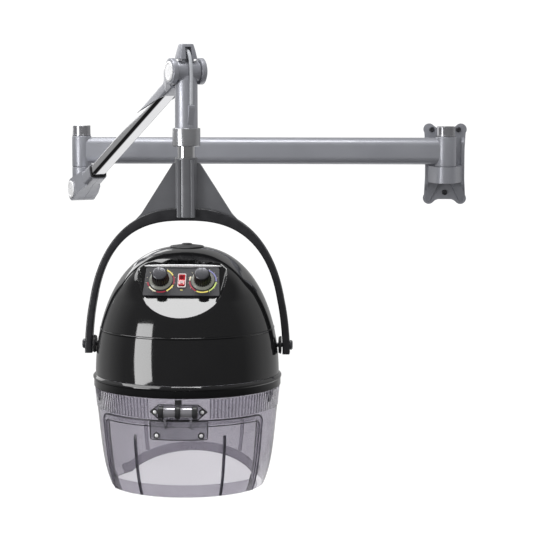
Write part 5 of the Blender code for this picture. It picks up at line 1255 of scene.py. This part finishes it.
def make_ribs_and_feet():
    """Two upright ribs inside the back wall, and a doubled foot at each end of the face opening."""
    inner = skin(skirt_radius, -SKIRT_WALL - 0.0030)
    for side, word in ((-1, "left"), (1, "right")):
        centre = np.pi - side * math.radians(37)
        angles = centre + np.linspace(-math.radians(1.3), math.radians(1.3), 7)
        rib = wall_patch(angles, flat(-0.150), flat(-0.236), skin(skirt_radius, INSIDE), inner,
                         np.linspace(0, 1, 12))
        angles = side * np.linspace(math.radians(55.5), math.radians(68), 24)
        foot = wall_patch(angles, foot_top, flat(SKIRT_BOTTOM), skin(skirt_radius, INSIDE), inner,
                          np.linspace(0, 1, 6))
        piece(f"front_foot_{word}", foot, HOOD, "hood", ["skirt"], CLEAR)
        piece(f"rear_rib_{word}", rib, HOOD, "hood", ["skirt"], CLEAR)


def visor_radius(z):
    return skirt_radius(z) + VISOR_CLEARANCE


def visor_face(z):
    return visor_radius(z) + VISOR_WALL


def visor_step(z):
    return visor_face(z) + 0.0014


def fin_face(angles, z):
    """The crest of a visor fin, which sinks to the wall at its top."""
    return visor_face(z) + 0.0036 - 0.002 * smooth_step(z, -0.16, -0.150)


def visor_top(angles, inset=0.0, corner=0.018):
    """The visor's upper edge, rounded at both ends."""
    arc = np.maximum(0.0, np.abs(angles) - (VISOR_ANGLE - (corner + inset) / VISOR_GAUGE)) * VISOR_GAUGE
    arc = np.minimum(arc, corner)
    return VISOR_TOP - inset - corner * (1 - np.sqrt(np.maximum(0.0, 1 - (arc / corner) ** 2)))


def make_visor():
    angles = np.linspace(-VISOR_ANGLE, VISOR_ANGLE, 261)
    shell = wall_patch(angles, visor_top, flat(VISOR_BOTTOM), skin(visor_face), skin(visor_radius),
                       np.linspace(0, 1, 40))
    piece("visor_shell", shell, HOOD, "visor", ["visor"], CLEAR)
    make_visor_border()
    for side, word in ((-1, "left"), (1, "right")):
        angles = side * math.radians(28.5) + np.linspace(-math.radians(0.85), math.radians(0.85), 5)
        fin = wall_patch(angles, flat(-0.150), flat(VISOR_BOTTOM + 0.0015), fin_face, skin(visor_face, GAP),
                         np.linspace(0, 1, 24))
        piece(f"visor_fin_{word}", fin, HOOD, "visor", ["visor"], FIN)
    angles = np.linspace(-VISOR_ANGLE + 0.03, VISOR_ANGLE - 0.03, 180)
    hem = wall_patch(angles, flat(VISOR_BOTTOM + 0.026), flat(VISOR_BOTTOM + 0.001), skin(visor_face, 0.0012),
                     skin(visor_face, GAP), np.linspace(0, 1, 8))
    piece("visor_hem", hem, HOOD, "visor", ["visor"], CLEAR)


def visor_frame(side_inset, top_inset, corner):
    """A line up one side of the visor, over its top and down the other: (distance round, height) pairs."""
    half = VISOR_ANGLE * VISOR_GAUGE - side_inset
    low = VISOR_BOTTOM + 0.001
    return dense(fillet([(-half, low), (-half, VISOR_TOP - top_inset, corner),
                         (half, VISOR_TOP - top_inset, corner), (half, low)], 0, 24, closed=False))


def wall_point(s, z, base, proud):
    """A point on a round wall of radius base(z): s metres round from the front, proud of it by a little."""
    radius = float(base(z)) + proud
    return (radius * math.sin(s / VISOR_GAUGE), -radius * math.cos(s / VISOR_GAUGE), z)


def wall_bead(line, radius, base, closed=False):
    """A half-round bead along a line of (distance round, height) pairs on a round wall."""
    rings = []
    count = len(line)
    for i in range(count):
        before = line[i - 1] if closed or i else line[0]
        after = line[(i + 1) % count] if closed or i < count - 1 else line[-1]
        run = Vector((after[0] - before[0], after[1] - before[1])).normalized()
        angles = [math.pi * k / 8 for k in range(9)]
        rings.append([wall_point(line[i][0] - run.y * radius * math.cos(a),
                                 line[i][1] + run.x * radius * math.cos(a), base, GAP + radius * math.sin(a))
                      for a in angles])
    if not closed:
        return loft(rings)
    bm = bmesh.new()
    bridge(bm, [[bm.verts.new(p) for p in ring] for ring in rings], closed_along=True)
    return bm


def make_visor_border():
    """The visor's raised frame, 12.5 mm tall along the top, and the dark lines of its edge and step."""
    outside, inside = visor_frame(0.0006, 0.0006, 0.016), visor_frame(0.0071, 0.0125, 0.010)
    sections = []
    for outer, inner in zip(outside, inside):
        sections.append([wall_point(*outer, visor_face, GAP), wall_point(*outer, visor_face, 0.0014),
                         wall_point(*inner, visor_face, 0.0014), wall_point(*inner, visor_face, GAP)])
    piece("visor_border", loft(sections), HOOD, "visor", ["visor"], PALE, 0.0003)
    for word, line, radius in (("edge", visor_frame(0.0008, 0.0008, 0.016), 0.0015),
                               ("step", inside, 0.0010)):
        bead = wall_bead(line, radius, visor_step if word == "edge" else visor_face)
        piece(f"visor_{word}_line", bead, HOOD, "visor", ["visor"], FIN)


def dense(points, count=150):
    """A polyline cut anew into count points at even steps."""
    cumulative = np.concatenate([[0], np.cumsum([math.dist(p, q) for p, q in zip(points, points[1:])])])
    shares = cumulative / cumulative[-1]
    even = np.linspace(0, 1, count)
    xs = np.interp(even, shares, [p[0] for p in points])
    zs = np.interp(even, shares, [p[1] for p in points])
    return list(zip(xs.tolist(), zs.tolist()))


# ---------------------------------------------------------------- hinge of the visor


def on_wall(angle, z, proud):
    """The place and outward frame of a point on the visor's wall; +Z of the frame is outwards."""
    r = float(visor_radius(z)) + VISOR_WALL + proud
    out = Vector((math.sin(angle), -math.cos(angle), 0))
    return HOOD @ frame_at(Vector((r * out.x, r * out.y, z)), UP.cross(out), out)


LEAF_PROUD = 0.0025
HINGE_PLACE = Matrix.Translation((0, HINGE.y, HINGE.z)) @ TO_X


def leaf_face(z):
    return visor_face(z) + LEAF_PROUD


def hinge_barrel(outer, start, end, bore=0.0027):
    """A short tube on the hinge's axis."""
    profile = fillet([(bore, start), (outer, start, 0.0006), (outer, end, 0.0006), (bore, end)], 0.0001, 4)
    return moved(lathe(profile, 48, ring=True), HINGE_PLACE)


# half width, half width of the level part, middle and half height
UPPER_LEAF = (math.radians(17), math.radians(11.5), -0.102, 0.0145)


def hexagon_reach(angles):
    """Half the upper leaf's height, which narrows to a blunt point at each end."""
    wide, narrow, _, tall = UPPER_LEAF
    return tall * np.minimum(1.0, np.maximum(0.12, (wide - np.abs(angles)) / (wide - narrow)))


def hexagon_top(angles):
    return UPPER_LEAF[2] + hexagon_reach(angles)


def hexagon_bottom(angles):
    return UPPER_LEAF[2] - hexagon_reach(angles)


def make_upper_leaf():
    """The hexagonal leaf with its post, screwed to the skirt, and its three knuckles."""
    wide, narrow, middle, tall = UPPER_LEAF
    outer, inner = skin(leaf_face), skin(skirt_radius, GAP)
    leaf = wall_patch(np.linspace(-wide, wide, 61), hexagon_top, hexagon_bottom, outer, inner,
                      np.linspace(0, 1, 9))
    post = wall_patch(np.linspace(-0.035, 0.035, 7), flat(-0.0785), flat(middle + tall - GAP), outer, inner,
                      np.linspace(0, 1, 4))
    piece("hinge_post", post, HOOD, "hood", ["skirt_leaf"], BLACK, 0.0005)
    piece("hinge_upper", leaf, HOOD, "hood", ["skirt_leaf"], LEAF, 0.0005)
    corners = [(-wide, middle), (-narrow, middle + tall), (narrow, middle + tall), (wide, middle),
               (narrow, middle - tall), (-narrow, middle - tall), (-wide, middle)]
    line = dense([(a * VISOR_GAUGE, z) for a, z in corners])[:-1]
    piece("hinge_upper_line", wall_bead(line, 0.0009, leaf_face, closed=True), HOOD, "hood", ["skirt_leaf"],
          BLACK)
    for number, x in enumerate((-0.0320, 0.0, 0.0320), 1):
        lug = block((x - 0.0032, HINGE.y - 0.001, HINGE.z - 0.0036), (x + 0.0032, -0.1790, HINGE.z + 0.0036))
        bore = moved(rod(0.0027, -0.05, 0.05, 0, 32), HINGE_PLACE)
        knuckle = carve(join(lug, hinge_barrel(0.0125, x - 0.0045, x + 0.0045, 0.0020)), bore)
        piece(f"hinge_knuckle_{number}", knuckle, HOOD, "hood", ["skirt_leaf"], BLACK,
              0.0003)


LOWER_LEAF = (math.radians(17.5), -0.1195, -0.1555)  # half width, top and bottom


def tab_bottom(angles):
    """The lower leaf's lower edge, with its two corners taken off."""
    return LOWER_LEAF[2] + 0.004 * smooth_step(np.abs(angles), 0.25, 0.305)


def make_lower_leaf():
    """The tab on the visor, its two arms and the bright barrels they carry."""
    wide, high, low = LOWER_LEAF
    tab = wall_patch(np.linspace(-wide, wide, 61), flat(high), tab_bottom, skin(leaf_face),
                     skin(visor_face, GAP), np.linspace(0, 1, 9))
    piece("hinge_lower", tab, HOOD, "visor", ["visor_leaf"], LEAF, 0.0005)
    corners = [(-wide, low + 0.002), (-wide, high), (wide, high), (wide, low + 0.002), (wide - 0.02, low),
               (-wide + 0.02, low), (-wide, low + 0.002)]
    line = dense([(a * VISOR_GAUGE, z) for a, z in corners])[:-1]
    piece("hinge_lower_line", wall_bead(line, 0.0009, leaf_face, closed=True), HOOD, "visor", ["visor_leaf"],
          BLACK)
    bracket = fillet([(-0.1928, HINGE.z), (-0.1922, -0.1260), (-0.1790, -0.1360), (-0.1790, -0.1205),
                      (-0.1840, -0.1190), (-0.1847, HINGE.z)], 0.001, 3)
    for side, word in ((-1, "left"), (1, "right")):
        near, far = sorted((side * 0.0225, side * 0.0265))
        bore = moved(rod(0.0030, -0.05, 0.05, 0, 32), HINGE_PLACE)
        piece(f"hinge_arm_{word}", carve(prism(bracket, near, far, "X"), bore), HOOD, "visor", ["visor_leaf"],
              LEAF, 0.0003)
        near, far = sorted((side * 0.0050, side * 0.0270))
        piece(f"hinge_barrel_{word}", hinge_barrel(0.0105, near, far), HOOD, "visor", ["visor_leaf"],
              BARREL)


def make_hinge():
    make_upper_leaf()
    make_lower_leaf()
    pin = moved(rod(0.0024, -0.0375, 0.0375, 0.0006, 40), HINGE_PLACE)
    piece("hinge_rod", pin, HOOD, "hood", ["hinge_pin"], CHROME)
    for side, word in ((-1, "left"), (1, "right")):
        make_leaf_screw(f"upper_screw_{word}", on_wall(side * math.radians(14.0), -0.102, LEAF_PROUD + GAP),
                        "hood")
        make_leaf_screw(f"lower_screw_{word}", on_wall(side * math.radians(13.5), -0.1475, LEAF_PROUD + GAP),
                        "visor")


def make_leaf_screw(name, place, body):
    """A small bright pan-head screw with a cross recess, in a dark countersunk seat."""
    profile = [(0, 0), (0.0034, 0, 0.0003), (0.0034, 0.0012, 0.0005), (0.0021, 0.0022, 0.0008), (0, 0.0024)]
    head = lathe(fillet(profile, 0, 5, closed=False), 48)
    slots = [block((-0.0018, -0.0004, 0.0014), (0.0018, 0.0004, 0.004)),
             block((-0.0004, -0.0018, 0.0014), (0.0004, 0.0018, 0.004))]
    piece(name, carve(head, *slots), place, body, [], DISC_AND_LIP_HIGHLIGHT, 0.0001)
    seat = lathe(fillet([(0.0037, 0), (0.0066, 0, 0.0006), (0.0058, 0.0020, 0.0008), (0.0037, 0.0012)],
                        0.0001, 4), 56, ring=True)
    piece(f"{name}_seat", seat, place, body, [], BLACK)


CLIP_TOP, CLIP_BOTTOM, CLIP_LEAN = -0.0785, -0.1000, 0.052


def clip_face(z):
    """A clip arm's outer face, which stands further out towards its top."""
    return skirt_radius(z) + 0.0022 + 0.06 * (z - CLIP_BOTTOM)


def seat_face(z):
    return skirt_radius(z) + GAP


def make_clips():
    """Each side clip is a V of two short arms that meet at the bottom."""
    height = CLIP_TOP - CLIP_BOTTOM
    across = np.linspace(-0.012, 0.012, 5)
    for side, word in ((-1, "left"), (1, "right")):
        centre = side * math.radians(67)
        for arm, label in ((-1, "a"), (1, "b")):
            wedge = bmesh.new()
            layers = []
            for radius_of in (clip_face, seat_face):
                layer = []
                for share in np.linspace(0, 1, 10):
                    z = CLIP_TOP - height * share
                    angles = centre + arm * CLIP_LEAN * (1 - share) + across
                    r = radius_of(z)
                    places = np.stack([r * np.sin(angles), -r * np.cos(angles), np.full_like(angles, z)],
                                      axis=1)
                    layer.append([wedge.verts.new(p) for p in places])
                layers.append(layer)
            close_wall(wedge, *layers)
            piece(f"clip_{word}_{label}", wedge, HOOD, "hood", [f"skirt_clip_{word}"], LEAF)


# ---------------------------------------------------------------- inside


def make_bowl():
    """The inner bowl under the fan, spun with shallow rings and six vents."""
    under = [(0.0, 0.0030), (0.040, 0.0030)]
    under += [(r, 0.0028 - 0.0010 * (i % 2)) for i, r in enumerate(np.linspace(0.044, 0.078, 8))]
    under += [(0.132, -0.0145), (0.1640, -0.0520)]
    over = [(0.1725, -0.0520), (0.1725, -0.0500), (0.166, -0.0500), (0.135, -0.0120), (0.080, 0.0050),
            (0.0, 0.0055)]
    bowl = lathe(fillet(under + over, 0.004, 5, closed=False), 128)
    vents = []
    for i in range(6):
        angle = 2 * math.pi * i / 6
        vents.append(moved(rod(0.011, -0.03, 0.03, 0, 40),
                           (0.062 * math.cos(angle), 0.062 * math.sin(angle), 0)))
    piece("air_deflector", carve(bowl, *vents), HOOD, "hood", ["air_bowl"], ALUMINIUM)


def dress_kept_nodes():
    """Materials for the CAD nodes that show as they are."""
    looks = {
        STEEL: ("wall_spindle", "elbow_spindle", "elbow_link_pin", "head_link_pin",
                "levelling_rod", "balance_spring", "spring_guide", "motor_bracket"),
        WHITE: ("wall_bush", "elbow_bush", "timer_unit", "heat_unit"),
        ALUMINIUM: ("fan_motor",),
        BRASS: ("heater_ring",),
        BLACK: ("fan_wheel",),
    }
    for look, names in looks.items():
        for name in names:
            materials = NODES[name].data.materials
            if not materials:
                materials.append(look)
            for slot in range(len(materials)):
                materials[slot] = look


# ---------------------------------------------------------------- stage


def make_floor():
    bpy.ops.mesh.primitive_plane_add(size=14, location=(-0.4, 1.0, CAD_BOX[0].z - 0.55))
    floor = bpy.context.object
    floor.name = "floor"
    floor.data.materials.append(finish("floor", (0.99, 0.99, 0.99), 0.75, mottle=0.005, grain_scale=60,
                                       grain_depth=0.0001))
    floor.visible_diffuse = False
    floor.visible_glossy = False


def background(tree, strength):
    """A white background whose strength is a number or comes from another node."""
    node = tree.nodes.new("ShaderNodeBackground")
    node.inputs["Color"].default_value = (1, 1, 1, 1)
    if isinstance(strength, bpy.types.NodeSocket):
        tree.links.new(strength, node.inputs["Strength"])
    else:
        node.inputs["Strength"].default_value = strength
    return node.outputs[0]


def ramp(tree, value, low, high, start, end):
    node = tree.nodes.new("ShaderNodeMapRange")
    tree.links.new(value, node.inputs["Value"])
    for name, number in (("From Min", low), ("From Max", high), ("To Min", start), ("To Max", end)):
        node.inputs[name].default_value = number
    return node.outputs["Result"]


def combine(tree, operation, a, b):
    node = tree.nodes.new("ShaderNodeMath")
    node.operation = operation
    tree.links.new(a, node.inputs[0])
    tree.links.new(b, node.inputs[1])
    return node.outputs[0]


def make_world():
    """White surroundings, with diffuse light mostly from above.

    Gloss sees a dim room with a paler back wall, and a white floor only behind the object and to its right.
    """
    world = bpy.data.worlds.new("studio")
    bpy.context.scene.world = world
    world.use_nodes = True
    tree = world.node_tree
    tree.nodes.clear()
    direction = tree.nodes.new("ShaderNodeTexCoord").outputs["Generated"]
    split = tree.nodes.new("ShaderNodeSeparateXYZ")
    tree.links.new(direction, split.inputs["Vector"])
    plain = background(tree, 1.06)
    back_wall = ramp(tree, split.outputs["Y"], -0.15, 0.40, 0.14, 0.36)
    floor_side = ramp(tree, split.outputs["X"], -0.30, -0.08, 0.0, 1.0)
    floor_back = ramp(tree, split.outputs["Y"], 0.05, 0.45, 0.0, 1.0)
    floor_low = ramp(tree, split.outputs["Z"], -0.24, -0.40, 0.0, 1.05)
    white_floor = combine(tree, "MULTIPLY", combine(tree, "MULTIPLY", floor_side, floor_back), floor_low)
    above_floor = ramp(tree, split.outputs["Z"], -0.30, -0.18, 0.04, 1.0)
    room = background(tree, combine(tree, "MAXIMUM", combine(tree, "MULTIPLY", back_wall, above_floor),
                                    white_floor))
    soft = background(tree, ramp(tree, split.outputs["Z"], -0.45, 0.05, 0.34, 1.10))
    path = tree.nodes.new("ShaderNodeLightPath")
    surface = plain
    for ray, seen in (("Is Diffuse Ray", soft), ("Is Glossy Ray", room)):
        mix = tree.nodes.new("ShaderNodeMixShader")
        tree.links.new(path.outputs[ray], mix.inputs[0])
        tree.links.new(surface, mix.inputs[1])
        tree.links.new(seen, mix.inputs[2])
        surface = mix.outputs[0]
    output = tree.nodes.new("ShaderNodeOutputWorld")
    tree.links.new(surface, output.inputs["Surface"])


def make_light(name, place, target, size_x, size_y, power):
    data = bpy.data.lights.new(name, "AREA")
    data.shape = "RECTANGLE"
    data.size, data.size_y = size_x, size_y
    data.energy = power
    light = bpy.data.objects.new(name, data)
    light.location = place
    light.rotation_euler = (Vector(target) - Vector(place)).to_track_quat("-Z", "Y").to_euler()
    light.visible_camera = False
    light.visible_transmission = False
    bpy.context.scene.collection.objects.link(light)
    return light


def make_lights():
    middle = HOOD.translation
    make_light("top_box", middle + Vector((0.0, -0.15, 1.9)), middle, 0.75, 0.55, 12)
    sideways = math.radians(51)
    out = Vector((-math.sin(sideways), -math.cos(sideways), 0))
    strip = make_light("strip_box", middle + out * 2.2 + Vector((0, 0, 0.25)), middle + Vector((0, 0, 0.25)),
                       0.90, 1.3, 26)
    strip.rotation_euler.rotate_axis("Z", math.radians(9))
    ceiling = make_light("ceiling_box", middle + Vector((-1.0, 0.4, 1.8)), middle, 1.9, 1.2, 24)
    rear = make_light("rear_box", middle + Vector((-1.0, 1.7, 0.75)), middle, 1.3, 0.8, 4)
    for light in (ceiling, rear):
        light.visible_diffuse = False
    fill = make_light("front_fill", middle + Vector((1.2, -3.6, 1.6)), middle, 1.4, 1.0, 26)
    fill.visible_glossy = False


def make_camera():
    data = bpy.data.cameras.new("camera")
    data.sensor_width = 36.0
    data.lens = 126.4
    camera = bpy.data.objects.new("camera", data)
    camera.location = (-0.168, -4.301, 0.2253)
    camera.rotation_euler = Vector((-0.0520, 0.9928, -0.1080)).to_track_quat("-Z", "Y").to_euler()
    bpy.context.scene.collection.objects.link(camera)
    bpy.context.scene.camera = camera


def main():
    make_camera()
    make_lead()
    make_bracket()
    make_arm()
    make_elbow()
    make_pin_ends("elbow", 0.0, ELBOW_DRUM_HALF + 0.0005 + ELBOW_CHEEK_WALL, 0.0195, ELBOW_PIN_RADIUS)
    make_pin_ends("knuckle", LIFT_LENGTH, KNUCKLE_DRUM_HALF + 0.0005 + KNUCKLE_CHEEK_WALL, 0.0195,
                  KNUCKLE_PIN_RADIUS)
    make_socket()
    make_lift_tube()
    make_arm_head()
    make_head_tube()
    make_collar()
    make_cover()
    make_strap()
    make_web()
    make_tilt_pivots()
    make_upper_dome()
    make_lower_dome()
    make_panel()
    make_dials()
    make_rocker()
    make_skirt()
    make_visor()
    make_hinge()
    make_clips()
    make_bowl()
    dress_kept_nodes()
    make_floor()
    make_world()
    make_lights()
    bpy.context.scene.view_settings.view_transform = "Standard"


main()
